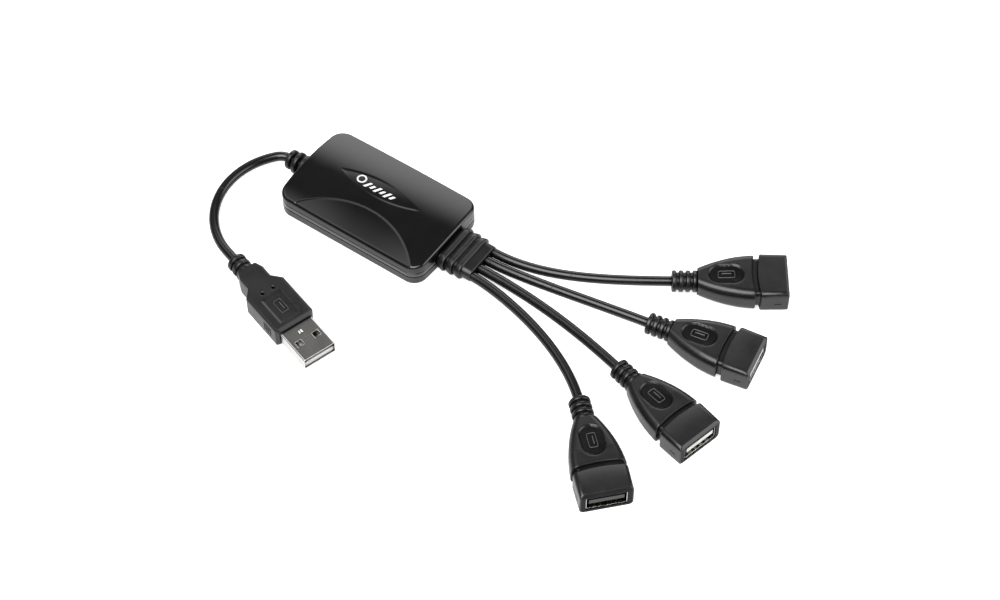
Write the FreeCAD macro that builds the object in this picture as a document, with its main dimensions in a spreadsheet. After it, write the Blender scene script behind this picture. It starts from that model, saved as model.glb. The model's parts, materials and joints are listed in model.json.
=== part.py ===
import FreeCAD, Part
import Sketcher
import math
import os
import re

# A four-port USB hub: a small case, a short lead with a plug, and four sockets on cables.
#
# Frame, in millimetres: the origin is the middle of the case's underside, +X runs along
# the case towards the sockets, +Y across it, +Z up. The case, the sockets and the plug all
# rest on the plane Z = 0. Each plug or socket is drawn in its own frame, with its mouth at
# X = 0 facing +X and its mid-height at Z = 0, and is then placed at the end of its cable.

PORTS = (1, 2, 3, 4)

DIMENSIONS = {
    # case: outline, heights and walls
    "case_length": 59.0,
    "case_width": 35.4,
    "case_end_bow": 0.8,
    "case_corner": 5.0,
    "parting_height": 3.6,
    "parting_gap": 0.3,
    "case_height": 10.1,
    "crown_across": 1.4,
    "crown_along": 0.5,
    "facet_inner": 5.9,
    "facet_drop": 0.4,
    "top_edge_round": 0.9,
    "bottom_edge_round": 0.8,
    "wall": 1.5,
    "floor": 1.4,
    "roof_height": 6.9,
    "lip": 0.8,
    "lip_rise": 1.4,
    "clearance": 0.05,
    # circuit board and what stands on it
    "board_length": 38.0,
    "board_width": 24.0,
    "board_thick": 1.0,
    "board_centre": -1.0,
    "board_height": 2.6,
    "post_radius": 1.5,
    "locating_pin_radius": 0.6,
    "locating_pin_rise": 0.4,
    "post_spacing_x": 32.0,
    "post_spacing_y": 19.0,
    "chip_length": 10.2,
    "chip_width": 5.3,
    "chip_height": 1.75,
    "chip_standoff": 0.1,
    "lead_pitch": 0.65,
    "lead_width": 0.3,
    "lead_thick": 0.15,
    "lead_reach": 1.2,
    "crystal_length": 10.6,
    "crystal_width": 4.2,
    "crystal_height": 2.8,
    "crystal_x": -11.0,
    "crystal_y": -6.5,
    "capacitor_length": 2.0,
    "capacitor_width": 1.25,
    "capacitor_height": 1.1,
    "capacitor_first_x": -13.0,
    "capacitor_pitch": 7.5,
    "capacitor_y": 7.0,
    "resistor_length": 1.6,
    "resistor_width": 0.8,
    "resistor_height": 0.45,
    "resistor_first_x": -3.0,
    "resistor_pitch": 2.6,
    "resistor_y": -6.5,
    # cables and their cores
    "cable_radius": 1.65,
    "cable_clearance": 0.03,
    "core_radius": 0.4,
    "core_spacing": 0.9,
    "core_lift": 0.1,
    "pad_inset": 1.5,
    "cable_inside": 24.4,
    # fan-shaped strain relief that the four cables leave through
    "fan_height": 4.4,
    "fan_flange_start": 25.0,
    "fan_neck_start": 26.8,
    "fan_start": 29.6,
    "fan_end": 42.6,
    "fan_flange_width": 18.4,
    "fan_flange_height": 4.8,
    "fan_neck_width": 15.4,
    "fan_neck_height": 4.2,
    "fan_ridge_width": 17.8,
    "fan_ridge_height": 7.2,
    "fan_ridge_taper": 0.3,
    "fan_core_width": 15.8,
    "fan_core_height": 5.4,
    "fan_ridge_length": 2.3,
    "fan_ridge_pitch": 3.15,
    "fan_first_ridge": 0.8,
    "fan_ridge_round": 0.5,
    "fan_collar_width": 15.6,
    "fan_collar_height": 5.0,
    "fan_collar_length": 3.0,
    "bore_spacing": 4.0,
    # round strain relief at the lead's end
    "lead_height": 4.0,
    "lead_inside": -24.2,
    "lead_flange_start": -25.2,
    "lead_neck_start": -26.8,
    "lead_relief_end": -37.0,
    "lead_flange_radius": 2.45,
    "lead_neck_radius": 2.0,
    "lead_end_ring_radius": 3.0,
    "lead_ring_radius": 3.5,
    "lead_groove_radius": 2.5,
    "lead_ring_width": 1.9,
    "lead_ring_gap": 0.85,
    # the lead's course: a tight bend, a wide bend, a straight run to the plug
    "tight_bend_radius": 6.0,
    "tight_bend_angle": 50.0,
    "wide_bend_radius": 25.8,
    "lead_straight": 5.2,
    "plug_heading": -17.55,
    # the sockets' places: where each cable enters, which way it faces, how far it stays straight
    "tail_x_1": 96.8, "tail_y_1": 29.4, "heading_1": 34.2, "reach_1": 18.0,
    "tail_x_2": 99.7, "tail_y_2": 10.9, "heading_2": 9.6, "reach_2": 12.0,
    "tail_x_3": 101.4, "tail_y_3": -9.5, "heading_3": -14.2, "reach_3": 20.0,
    "tail_x_4": 98.4, "tail_y_4": -27.1, "heading_4": -43.2, "reach_4": 9.0,
    "tail_reach": 24.0,
    # socket overmould
    "socket_length": 37.5,
    "socket_width": 17.4,
    "socket_height": 8.8,
    "socket_belly_width": 17.7,
    "socket_tail_width": 7.8,
    "socket_tail_height": 7.6,
    "socket_ribs_end": 29.2,
    "groove_back": 10.75,
    "groove_front": 9.0,
    "groove_bow": 0.9,
    "groove_depth": 1.1,
    "socket_neck_back": 13.75,
    "socket_neck_front": 8.75,
    "socket_body_round": 2.6,
    "socket_cap_round": 1.4,
    "socket_rib_radius": 3.6,
    "socket_rib_groove_radius": 2.9,
    "socket_rib_width": 1.45,
    "socket_rib_gap": 0.8,
    "mark_centre": 20.0,
    "mark_length": 12.0,
    "mark_width": 8.0,
    "mark_depth": 0.4,
    "cable_in_socket": 14.4,
    "belly_bulge_at": 20.5,
    "belly_bulge_width": 14.6,
    "belly_flat_at": 17.0,
    "cap_taper": 0.2,
    "socket_front_round": 0.8,
    "socket_front_bevel": 0.9,
    "inner_mould_width": 10.0,
    "inner_mould_height": 4.4,
    "spring_length": 4.5,
    "spring_width": 2.0,
    "spring_centre": 6.0,
    "spring_side": 2.9,
    # receptacle inside the socket (standard A receptacle)
    "mouth_width": 12.5,
    "mouth_height": 5.1,
    "sheet_metal": 0.3,
    "receptacle_length": 14.0,
    "receptacle_setback": 0.2,
    "tongue_width": 11.1,
    "tongue_thick": 1.9,
    "tongue_length": 10.6,
    "tongue_raise": 0.75,
    "tongue_base": 3.0,
    "contact_width": 1.0,
    "contact_thick": 0.2,
    "contact_inner": 1.0,
    "contact_outer": 3.5,
    "contact_setback": 0.8,
    "contact_gap": 0.01,
    "socket_contact_length": 9.6,
    "plug_contact_length": 9.0,
    "inner_mould_end": 23.0,
    # plug (standard A plug)
    "plug_length": 48.0,
    "plug_width": 14.6,
    "plug_height": 8.0,
    "plug_neck_width": 9.0,
    "plug_front": 13.2,
    "plug_wide_end": 30.5,
    "plug_neck_start": 33.8,
    "plug_neck_end": 38.4,
    "plug_ribs_end": 41.0,
    "plug_tail_width": 7.0,
    "plug_front_bevel": 1.0,
    "plug_edge_round": 0.7,
    "plug_rib_radius": 3.4,
    "plug_rib_groove_radius": 2.7,
    "plug_rib_width": 1.75,
    "plug_rib_gap": 0.85,
    "plug_panel_start": 15.6,
    "plug_panel_end": 26.8,
    "plug_panel_width": 8.0,
    "plug_panel_depth": 0.25,
    "plug_shell_width": 12.0,
    "plug_shell_height": 4.5,
    "plug_shell_length": 18.6,
    "plug_shell_round": 0.5,
    "plug_window_centre": 6.5,
    "plug_window_side": 3.2,
    "plug_window_length": 2.0,
    "plug_window_width": 2.2,
    "plug_insulator_thick": 1.95,
    "insulator_setback": 0.5,
    "plug_inner_mould_width": 11.0,
    "plug_inner_mould_height": 4.0,
    "plug_inner_mould_end": 29.5,
    "cable_in_plug": 18.4,
}

document = FreeCAD.newDocument("usb_hub")
sheet = document.addObject("Spreadsheet::Sheet", "dims")
finished = []


# ---------------------------------------------------------------- sheet and small helpers

def fill_sheet():
    for row, (name, size) in enumerate(DIMENSIONS.items(), start=1):
        sheet.set("A%d" % row, name)
        sheet.set("B%d" % row, str(size))
        sheet.setAlias("B%d" % row, name)
    document.recompute()


def formula(text):
    """A sheet formula, from one written with the bare names of the dimensions."""
    def with_sheet(match):
        word = match.group(0)
        return "dims." + word if word in DIMENSIONS else word
    return re.sub(r"[a-z_][a-z_0-9]*", with_sheet, str(text))


def size(text):
    """The number that a formula of dimensions gives."""
    return float(sheet.evalExpression(formula(text)))


def bind(item, prop, text):
    item.setExpression(prop, formula(text))


def finish_part(item, label):
    item.Label = label
    finished.append(item)
    return item


def new_body(label):
    return finish_part(document.addObject("PartDesign::Body", label), label)


def origin_plane(body, role):
    return next(item for item in body.Origin.OriginFeatures if item.Role == role)


def add_sketch(body, role, offset="0"):
    """A sketch on one of the body's own origin planes, shifted along that plane's normal."""
    sketch = body.newObject("Sketcher::SketchObject", "Sketch")
    sketch.AttachmentSupport = [(origin_plane(body, role), "")]
    sketch.MapMode = "FlatFace"
    bind(sketch, "AttachmentOffset.Base.z", offset)
    return sketch


def add_feature(body, kind, sketch, **settings):
    """A sketch-based feature; text settings are formulas, others are plain values."""
    feature = body.newObject("PartDesign::" + kind, kind)
    feature.Profile = sketch
    for prop, setting in settings.items():
        if isinstance(setting, str) and prop in ("Length", "Angle"):
            bind(feature, prop, setting)
        else:
            setattr(feature, prop, setting)
    return feature


def pin_point(sketch, index, position, across, up):
    """Hold one point of a sketch at the formulas' coordinates."""
    for kind, text in (("DistanceX", across), ("DistanceY", up)):
        number = sketch.addConstraint(
            Sketcher.Constraint(kind, -1, 1, index, position, size(text)))
        bind(sketch, "Constraints[%d]" % number, text)


def hold_radius(sketch, index, text):
    number = sketch.addConstraint(Sketcher.Constraint("Radius", index, size(text)))
    bind(sketch, "Constraints[%d]" % number, text)


def draw_outline(sketch, corners):
    """A closed outline. A corner is (x, y); a corner (x, y, middle_x, middle_y) is reached
    by an arc through the middle point instead of a straight line."""
    points = [FreeCAD.Vector(size(c[0]), size(c[1]), 0) for c in corners]
    first = None
    for number, corner in enumerate(corners):
        start = points[number - 1]
        end = points[number]
        clockwise = False
        if len(corner) == 4:
            middle = FreeCAD.Vector(size(corner[2]), size(corner[3]), 0)
            clockwise = (middle - start).cross(end - middle).z < 0
            edge = Part.Arc(end, middle, start) if clockwise else Part.Arc(start, middle, end)
        else:
            edge = Part.LineSegment(start, end)
        index = sketch.addGeometry(edge, False)
        tail, head = (2, 1) if clockwise else (1, 2)
        if first is None:
            first = (index, tail)
        else:
            sketch.addConstraint(Sketcher.Constraint("Coincident", last[0], last[1], index, tail))
        pin_point(sketch, index, head, corner[0], corner[1])
        last = (index, head)
    sketch.addConstraint(Sketcher.Constraint("Coincident", last[0], last[1], first[0], first[1]))


def draw_rectangle(sketch, width, height, across="0", up="0"):
    low_x, high_x = "%s - (%s) / 2" % (across, width), "%s + (%s) / 2" % (across, width)
    low_y, high_y = "%s - (%s) / 2" % (up, height), "%s + (%s) / 2" % (up, height)
    draw_outline(sketch, [(low_x, low_y), (high_x, low_y), (high_x, high_y), (low_x, high_y)])


def draw_circle(sketch, radius, across="0", up="0"):
    centre = FreeCAD.Vector(size(across), size(up), 0)
    index = sketch.addGeometry(Part.Circle(centre, FreeCAD.Vector(0, 0, 1), size(radius)), False)
    pin_point(sketch, index, 3, across, up)
    hold_radius(sketch, index, radius)


def draw_obround(sketch, width, height, up="0"):
    """A flat oval with straight top and bottom and round ends, centred at (0, up)."""
    left, right = "-((%s) - (%s)) / 2" % (width, height), "((%s) - (%s)) / 2" % (width, height)
    low, high = "%s - (%s) / 2" % (up, height), "%s + (%s) / 2" % (up, height)
    draw_outline(sketch, [
        (left, low, "-(%s) / 2" % width, up),
        (right, low),
        (right, high, "(%s) / 2" % width, up),
        (left, high),
    ])


def edges_within(shape, low, high):
    """The names of the edges that lie wholly between two corners of a box."""
    names = []
    for number, edge in enumerate(shape.Edges, start=1):
        box = edge.BoundBox
        inside = (
            box.XMin >= low[0] and box.XMax <= high[0]
            and box.YMin >= low[1] and box.YMax <= high[1]
            and box.ZMin >= low[2] and box.ZMax <= high[2]
        )
        if inside:
            names.append("Edge%d" % number)
    return names


def round_edges(body, names, radius, kind="Fillet"):
    base = body.Tip
    feature = body.newObject("PartDesign::" + kind, kind)
    feature.Base = (base, names)
    bind(feature, "Radius" if kind == "Fillet" else "Size", radius)
    return feature


# ---------------------------------------------------------------- the case

def case_outline(sketch, inset):
    """The case's plan: straight sides, bowed ends and round corners, moved in by inset."""
    inset_size = size(inset)
    half_width = size("case_width") / 2 - inset_size
    corner = size("case_corner") - inset_size
    side = size("case_width") / 2
    bow = size("case_end_bow")
    bow_radius = (side * side + bow * bow) / (2 * bow) - inset_size
    bow_centre = size("case_length") / 2 - inset_size - bow_radius
    corner_y = half_width - corner
    corner_x = bow_centre + math.sqrt((bow_radius - corner) ** 2 - corner_y ** 2)
    lean = math.atan2(corner_y, corner_x - bow_centre)
    up = FreeCAD.Vector(0, 0, 1)

    def arc(x, y, radius, start, end):
        circle = Part.Circle(FreeCAD.Vector(x, y, 0), up, radius)
        return Part.ArcOfCircle(circle, start, end)

    half_turn = math.pi
    far_side = [FreeCAD.Vector(x, half_width, 0) for x in (corner_x, -corner_x)]
    near_side = [FreeCAD.Vector(x, -half_width, 0) for x in (-corner_x, corner_x)]
    edges = [
        arc(bow_centre, 0, bow_radius, -lean, lean),
        arc(corner_x, corner_y, corner, lean, half_turn / 2),
        Part.LineSegment(*far_side),
        arc(-corner_x, corner_y, corner, half_turn / 2, half_turn - lean),
        arc(-bow_centre, 0, bow_radius, half_turn - lean, half_turn + lean),
        arc(-corner_x, -corner_y, corner, half_turn + lean, 1.5 * half_turn),
        Part.LineSegment(*near_side),
        arc(corner_x, -corner_y, corner, -half_turn / 2, -lean),
    ]
    for edge in edges:
        sketch.addGeometry(edge, False)
    for number in range(len(edges)):
        following = (number + 1) % len(edges)
        sketch.addConstraint(Sketcher.Constraint("Tangent", number, 2, following, 1))
    for number in (2, 6):
        sketch.addConstraint(Sketcher.Constraint("Horizontal", number))
    for number in (1, 3, 5, 7):
        hold_radius(sketch, number, "case_corner - (%s)" % inset)
    bow_text = "((case_width / 2) ^ 2 + case_end_bow ^ 2) / (2 * case_end_bow) - (%s)" % inset
    for number, sign in ((0, ""), (4, "-")):
        hold_radius(sketch, number, bow_text)
        reach = "%s(case_length / 2 - (%s) - (%s))" % (sign, inset, bow_text)
        pin_point(sketch, number, 3, reach, "0")
    for number, sign, place in ((2, "", half_width), (6, "-", -half_width)):
        kept = sketch.addConstraint(Sketcher.Constraint("DistanceY", -1, 1, number, 1, place))
        bind(sketch, "Constraints[%d]" % kept, "%s(case_width / 2 - (%s))" % (sign, inset))


def pad_case_outline(body, inset, low, rise):
    sketch = add_sketch(body, "XY_Plane", low)
    case_outline(sketch, inset)
    return add_feature(body, "Pad", sketch, Length=rise)


def cut_end_openings(body):
    """The holes in the end walls for the necks of both strain reliefs."""
    fan = add_sketch(body, "YZ_Plane", "fan_neck_start - wall")
    draw_obround(fan, "fan_neck_width + 2 * clearance", "fan_neck_height + 2 * clearance", "fan_height")
    add_feature(body, "Pocket", fan, Length="case_length / 2", Reversed=True)
    lead = add_sketch(body, "YZ_Plane", "lead_neck_start + wall")
    draw_circle(lead, "lead_neck_radius + clearance", "0", "lead_height")
    add_feature(body, "Pocket", lead, Length="case_length / 2")


def top_cover():
    body = new_body("top_cover")
    low = "parting_height"
    pad_case_outline(body, "0", low, "case_height + 1 - parting_height")

    # the crowned top: everything above a shallow barrel goes, the barrel's axis lying along X
    across_radius = "((case_width / 2) ^ 2 + crown_across ^ 2) / (2 * crown_across)"
    crown = add_sketch(body, "XZ_Plane")
    bind(crown, "AttachmentOffset.Base.y", "case_height - (%s)" % across_radius)
    end = "(case_length / 2 + 1)"
    beyond = "%s + 4" % across_radius
    low_end = "%s - crown_along * (1 + 2 / case_length) ^ 2" % across_radius
    draw_outline(crown, [
        (end, beyond),
        ("-%s" % end, beyond),
        ("-%s" % end, low_end),
        (end, low_end, "0", across_radius),
    ])
    add_feature(body, "Groove", crown, ReferenceAxis=(crown, ["H_Axis"]), Angle="30", Midplane=True)

    # the flat lens-shaped facet along the near side
    facet = add_sketch(body, "YZ_Plane", "0")
    edge = "case_height - crown_across - facet_drop"
    inner = "case_height - facet_inner ^ 2 / (2 * (%s))" % across_radius
    slope = "((%s) - (%s)) / (case_width / 2 - facet_inner)" % (inner, edge)
    draw_outline(facet, [
        ("-case_width / 2 - 1", "%s - %s" % (edge, slope)),
        ("-facet_inner", inner),
        ("-facet_inner", "case_height + 2"),
        ("-case_width / 2 - 1", "case_height + 2"),
    ])
    add_feature(body, "Pocket", facet, Length="case_length", Midplane=True)
    document.recompute()
    far = size("case_length")
    rim = edges_within(body.Shape, (-far, -far, size("roof_height")), (far, far, far))
    round_edges(body, rim, "top_edge_round")
    hollow = add_sketch(body, "XY_Plane", low)
    case_outline(hollow, "wall")
    add_feature(body, "Pocket", hollow, Length="roof_height - parting_height", Reversed=True)
    cut_end_openings(body)
    return body


def bottom_cover():
    body = new_body("bottom_cover")
    pad_case_outline(body, "0", "0", "parting_height - parting_gap")
    document.recompute()
    far = size("case_length")
    under = edges_within(body.Shape, (-far, -far, -1), (far, far, size("bottom_edge_round")))
    round_edges(body, under, "bottom_edge_round")
    pad_case_outline(body, "wall + clearance", "floor", "parting_height + lip_rise - floor")
    hollow = add_sketch(body, "XY_Plane", "floor")
    case_outline(hollow, "wall + clearance + lip")
    add_feature(body, "Pocket", hollow, Length="parting_height + lip_rise", Reversed=True)
    for radius, top in (("post_radius", "board_height"),
                        ("locating_pin_radius", "board_height + board_thick + locating_pin_rise")):
        posts = add_sketch(body, "XY_Plane", "floor / 2")
        draw_four_circles(posts, radius)
        add_feature(body, "Pad", posts, Length="%s - floor / 2" % top)
    cut_end_openings(body)
    return body


def draw_four_circles(sketch, radius):
    for along in ("-", ""):
        for across in ("-", ""):
            x = "board_centre + %s(post_spacing_x / 2)" % along
            draw_circle(sketch, radius, x, "%s(post_spacing_y / 2)" % across)


# ---------------------------------------------------------------- the circuit board

def circuit_board():
    body = new_body("circuit_board")
    sketch = add_sketch(body, "XY_Plane", "board_height")
    draw_rectangle(sketch, "board_length", "board_width", "board_centre")
    draw_four_circles(sketch, "locating_pin_radius + clearance")
    add_feature(body, "Pad", sketch, Length="board_thick")
    return body


def new_box(label, length, width, height, x, y, z):
    """A plain block, given by its size and the middle of its underside."""
    box = document.addObject("Part::Box", label)
    for prop, text in (("Length", length), ("Width", width), ("Height", height)):
        bind(box, prop, text)
    bind(box, "Placement.Base.x", "%s - (%s) / 2" % (x, length))
    bind(box, "Placement.Base.y", "%s - (%s) / 2" % (y, width))
    bind(box, "Placement.Base.z", z)
    return box


def group_of(label, items):
    group = document.addObject("Part::Compound", label)
    group.Links = items
    return finish_part(group, label)


ON_BOARD = "board_height + board_thick"


def hub_controller():
    box = new_box("hub_controller", "chip_length", "chip_width", "chip_height",
                  "board_centre", "0", ON_BOARD + " + chip_standoff")
    return finish_part(box, "hub_controller")


def controller_leads():
    """Two rows of flat leads that start at the chip's sides and lie on the board."""
    leads_per_side = 14
    leads = []
    for side in ("-", ""):
        for number in range(leads_per_side):
            step = number - (leads_per_side - 1) / 2
            leads.append(new_box(
                "controller_lead", "lead_width", "lead_reach", "lead_thick",
                "board_centre + %g * lead_pitch" % step,
                "%s((chip_width + lead_reach) / 2 + clearance)" % side, ON_BOARD))
    return group_of("controller_leads", leads)


def crystal():
    body = new_body("crystal")
    sketch = add_sketch(body, "XY_Plane", ON_BOARD)
    bind(sketch, "AttachmentOffset.Base.x", "crystal_x")
    bind(sketch, "AttachmentOffset.Base.y", "crystal_y")
    draw_obround(sketch, "crystal_length", "crystal_width")
    add_feature(body, "Pad", sketch, Length="crystal_height")
    return body


def chip_parts(label, kind, count):
    """A row of small surface-mounted parts of one kind."""
    items = [
        new_box(label + "_chip", kind + "_length", kind + "_width", kind + "_height",
                "%s_first_x + %d * %s_pitch" % (kind, number, kind), kind + "_y", ON_BOARD)
        for number in range(count)
    ]
    return group_of(label, items)


# ---------------------------------------------------------------- strain reliefs on the case

def pad_obround(body, start, width, height, length):
    sketch = add_sketch(body, "YZ_Plane", start)
    draw_obround(sketch, width, height, "fan_height")
    return add_feature(body, "Pad", sketch, Length=length)


def bore_offset(port):
    """How far a port's cable lies to the side of the case's middle line as it leaves."""
    return "%g * bore_spacing" % (2.5 - port)


def ridge_rims(shape):
    """The names of the edges round the front and back of each ridge of the fan relief."""
    start, end = size("fan_start"), size("fan_end - fan_collar_length")
    middle = size("fan_height")
    above_core = size("fan_core_height / 2 + fan_ridge_taper")
    names = []
    for number, edge in enumerate(shape.Edges, start=1):
        box = edge.BoundBox
        on_ridges = box.XMin > start and box.XMax < end + size("fan_ridge_round")
        across = box.XLength < size("clearance")
        outer = max(middle - box.ZMin, box.ZMax - middle) > above_core
        if on_ridges and across and outer:
            names.append("Edge%d" % number)
    return names


def fan_relief():
    body = new_body("fan_relief")
    pad_obround(body, "fan_flange_start", "fan_flange_width", "fan_flange_height",
                "fan_neck_start - fan_flange_start")
    pad_obround(body, "fan_neck_start", "fan_neck_width", "fan_neck_height",
                "fan_start - fan_neck_start")
    pad_obround(body, "fan_start", "fan_core_width", "fan_core_height",
                "fan_end - fan_collar_length - fan_start")
    pad_obround(body, "fan_end - fan_collar_length", "fan_collar_width", "fan_collar_height",
                "fan_collar_length")
    for ridge in range(3):
        less = "%d * fan_ridge_taper" % ridge
        pad_obround(body, "fan_start + fan_first_ridge + %d * fan_ridge_pitch" % ridge,
                    "fan_ridge_width - %s" % less, "fan_ridge_height - %s" % less,
                    "fan_ridge_length")
    document.recompute()
    round_edges(body, ridge_rims(body.Shape), "fan_ridge_round")
    bores = add_sketch(body, "YZ_Plane", "fan_flange_start")
    for port in PORTS:
        draw_circle(bores, "cable_radius + cable_clearance", bore_offset(port), "fan_height")
    add_feature(body, "Pocket", bores, Length="fan_end", Reversed=True)
    return body


def ring_corners(tail, radii, groove_radius, width, gap):
    """The upper half of a ribbed stretch along +X: one ring for each radius, with grooves
    between them. Gives its corners and the place where the last ring ends."""
    corners = [(tail, "0")]
    at = tail
    for number, radius in enumerate(radii):
        if number > 0:
            corners.append((at, groove_radius))
            at = "%s + %s" % (at, gap)
            corners.append((at, groove_radius))
        corners.append((at, radius))
        at = "%s + %s" % (at, width)
        corners.append((at, radius))
    return corners, at


def turn_about_x(body, sketch):
    add_feature(body, "Revolution", sketch, ReferenceAxis=(sketch, ["H_Axis"]), Angle="360")


def ribbed_tail(body, kind, rings, end):
    """The ribbed tail of a connector, which its cable enters; it runs into the body at end."""
    sketch = add_sketch(body, "XZ_Plane")
    groove = kind + "rib_groove_radius"
    tail = "-plug_length" if kind == "plug_" else "-socket_length"
    corners, at = ring_corners(tail, [kind + "rib_radius"] * rings, groove,
                               kind + "rib_width", kind + "rib_gap")
    corners += [(at, groove), (end, groove), (end, "0")]
    draw_outline(sketch, corners)
    turn_about_x(body, sketch)


def lead_relief():
    body = new_body("lead_relief")
    sketch = add_sketch(body, "XZ_Plane")
    bind(sketch, "AttachmentOffset.Base.y", "lead_height")
    radii = ["lead_end_ring_radius", "lead_ring_radius", "lead_ring_radius"]
    corners, at = ring_corners("lead_relief_end", radii, "lead_groove_radius",
                               "lead_ring_width", "lead_ring_gap")
    corners += [
        (at, "lead_neck_radius"),
        ("lead_neck_start", "lead_neck_radius"),
        ("lead_neck_start", "lead_flange_radius"),
        ("lead_flange_start", "lead_flange_radius"),
        ("lead_flange_start", "0"),
    ]
    draw_outline(sketch, corners)
    turn_about_x(body, sketch)
    bore = add_sketch(body, "YZ_Plane", "lead_relief_end")
    draw_circle(bore, "cable_radius + cable_clearance", "0", "lead_height")
    add_feature(body, "Pocket", bore, Length="case_length", Reversed=True)
    return body


# ---------------------------------------------------------------- cables

def heading_vector(degrees):
    angle = math.radians(degrees)
    return FreeCAD.Vector(math.cos(angle), math.sin(angle), 0)


def pipe_along(body, start, height, edges):
    """A cable: a circle on the plane X = start, swept along joined edges at a height.
    The edges are drawn flat, in X and Y."""
    spine = add_sketch(body, "XY_Plane", height)
    for edge in edges:
        spine.addGeometry(edge, False)
    profile = add_sketch(body, "YZ_Plane", start)
    centre_y = "%.6f" % edges[0].StartPoint.y
    draw_circle(profile, "cable_radius", centre_y, height)
    pipe = body.newObject("PartDesign::AdditivePipe", "AdditivePipe")
    pipe.Profile = profile
    pipe.Spine = (spine, ["Edge%d" % (number + 1) for number in range(len(edges))])
    return pipe


def port_cable(port):
    """A cable from inside the case, through the fan relief, to inside its socket's tail."""
    body = new_body("port_cable_%d" % port)
    y = size(bore_offset(port))
    inside = FreeCAD.Vector(size("cable_inside"), y, 0)
    mouth = FreeCAD.Vector(size("fan_end"), y, 0)
    tail = FreeCAD.Vector(size("tail_x_%d" % port), size("tail_y_%d" % port), 0)
    facing = heading_vector(size("heading_%d" % port))
    bend = Part.BezierCurve()
    bend.setPoles([
        mouth,
        mouth + FreeCAD.Vector(size("reach_%d" % port), 0, 0),
        tail - facing * size("tail_reach"),
        tail,
    ])
    edges = [
        Part.LineSegment(inside, mouth),
        bend.toBSpline(),
        Part.LineSegment(tail, tail + facing * size("cable_in_socket")),
    ]
    pipe_along(body, "cable_inside", "fan_height", edges)
    return body


def lead_course():
    """The lead's edges, flat in X and Y, and where they end."""
    course = []
    up = FreeCAD.Vector(0, 0, 1)

    def left_bend(start, heading, radius, angle):
        """An arc that turns left from a heading, and its end and new heading."""
        centre = start + heading_vector(heading + 90) * radius
        circle = Part.Circle(centre, up, radius)
        first = math.radians(heading - 90)
        arc = Part.ArcOfCircle(circle, first, first + math.radians(angle))
        return arc, arc.EndPoint, heading + angle

    inside = FreeCAD.Vector(size("lead_inside"), 0, 0)
    mouth = FreeCAD.Vector(size("lead_relief_end"), 0, 0)
    course.append(Part.LineSegment(inside, mouth))
    outward = 180
    tight, at, heading = left_bend(
        mouth, outward, size("tight_bend_radius"), size("tight_bend_angle"))
    course.append(tight)
    left_to_turn = 360 + size("plug_heading") - heading
    wide, at, heading = left_bend(at, heading, size("wide_bend_radius"), left_to_turn)
    course.append(wide)
    tail = at + heading_vector(heading) * size("lead_straight")
    course.append(Part.LineSegment(at, tail + heading_vector(heading) * size("cable_in_plug")))
    return course, tail


def lead_cable():
    body = new_body("lead_cable")
    course = lead_course()[0]
    pipe_along(body, "lead_inside", "lead_height", course)
    return body


def cable_cores(label, cable_end, y, height, pads):
    """Four insulated cores from a cable's cut end to their pads on the board."""
    cores_per_cable = 4
    pad_height = size(ON_BOARD + " + core_radius + core_lift")
    cores = []
    for number in range(cores_per_cable):
        across = y + (number - (cores_per_cable - 1) / 2) * size("core_spacing")
        start = FreeCAD.Vector(size(cable_end), across, height)
        end = FreeCAD.Vector(size(pads), across, pad_height)
        core = document.addObject("Part::Cylinder", label + "_core")
        bind(core, "Radius", "core_radius")
        core.Height = (end - start).Length
        turn = FreeCAD.Rotation(FreeCAD.Vector(0, 0, 1), end - start)
        core.Placement = FreeCAD.Placement(start, turn)
        cores.append(core)
    return group_of(label, cores)


# ---------------------------------------------------------------- sockets

def place_at_socket(item, port):
    """Put a piece drawn in a socket's own frame at the end of that port's cable."""
    heading = size("heading_%d" % port)
    tail = FreeCAD.Vector(size("tail_x_%d" % port), size("tail_y_%d" % port), size("fan_height"))
    mouth = tail + heading_vector(heading) * size("socket_length")
    item.Placement = FreeCAD.Placement(mouth, FreeCAD.Rotation(FreeCAD.Vector(0, 0, 1), heading))


def round_rims(body, low_x, high_x, radius, half_height):
    """Round the long upper and lower edges between two places along a connector."""
    document.recompute()
    far = size("plug_length")
    shortest = 3.0
    margin = 0.1
    names = []
    for name in edges_within(body.Shape, (low_x, -far, -far), (high_x, far, far)):
        edge = body.Shape.getElement(name)
        is_rim = abs(edge.CenterOfMass.z) > size(half_height) - margin
        if is_rim and edge.BoundBox.XLength > shortest:
            names.append(name)
    round_edges(body, names, radius)


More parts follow.
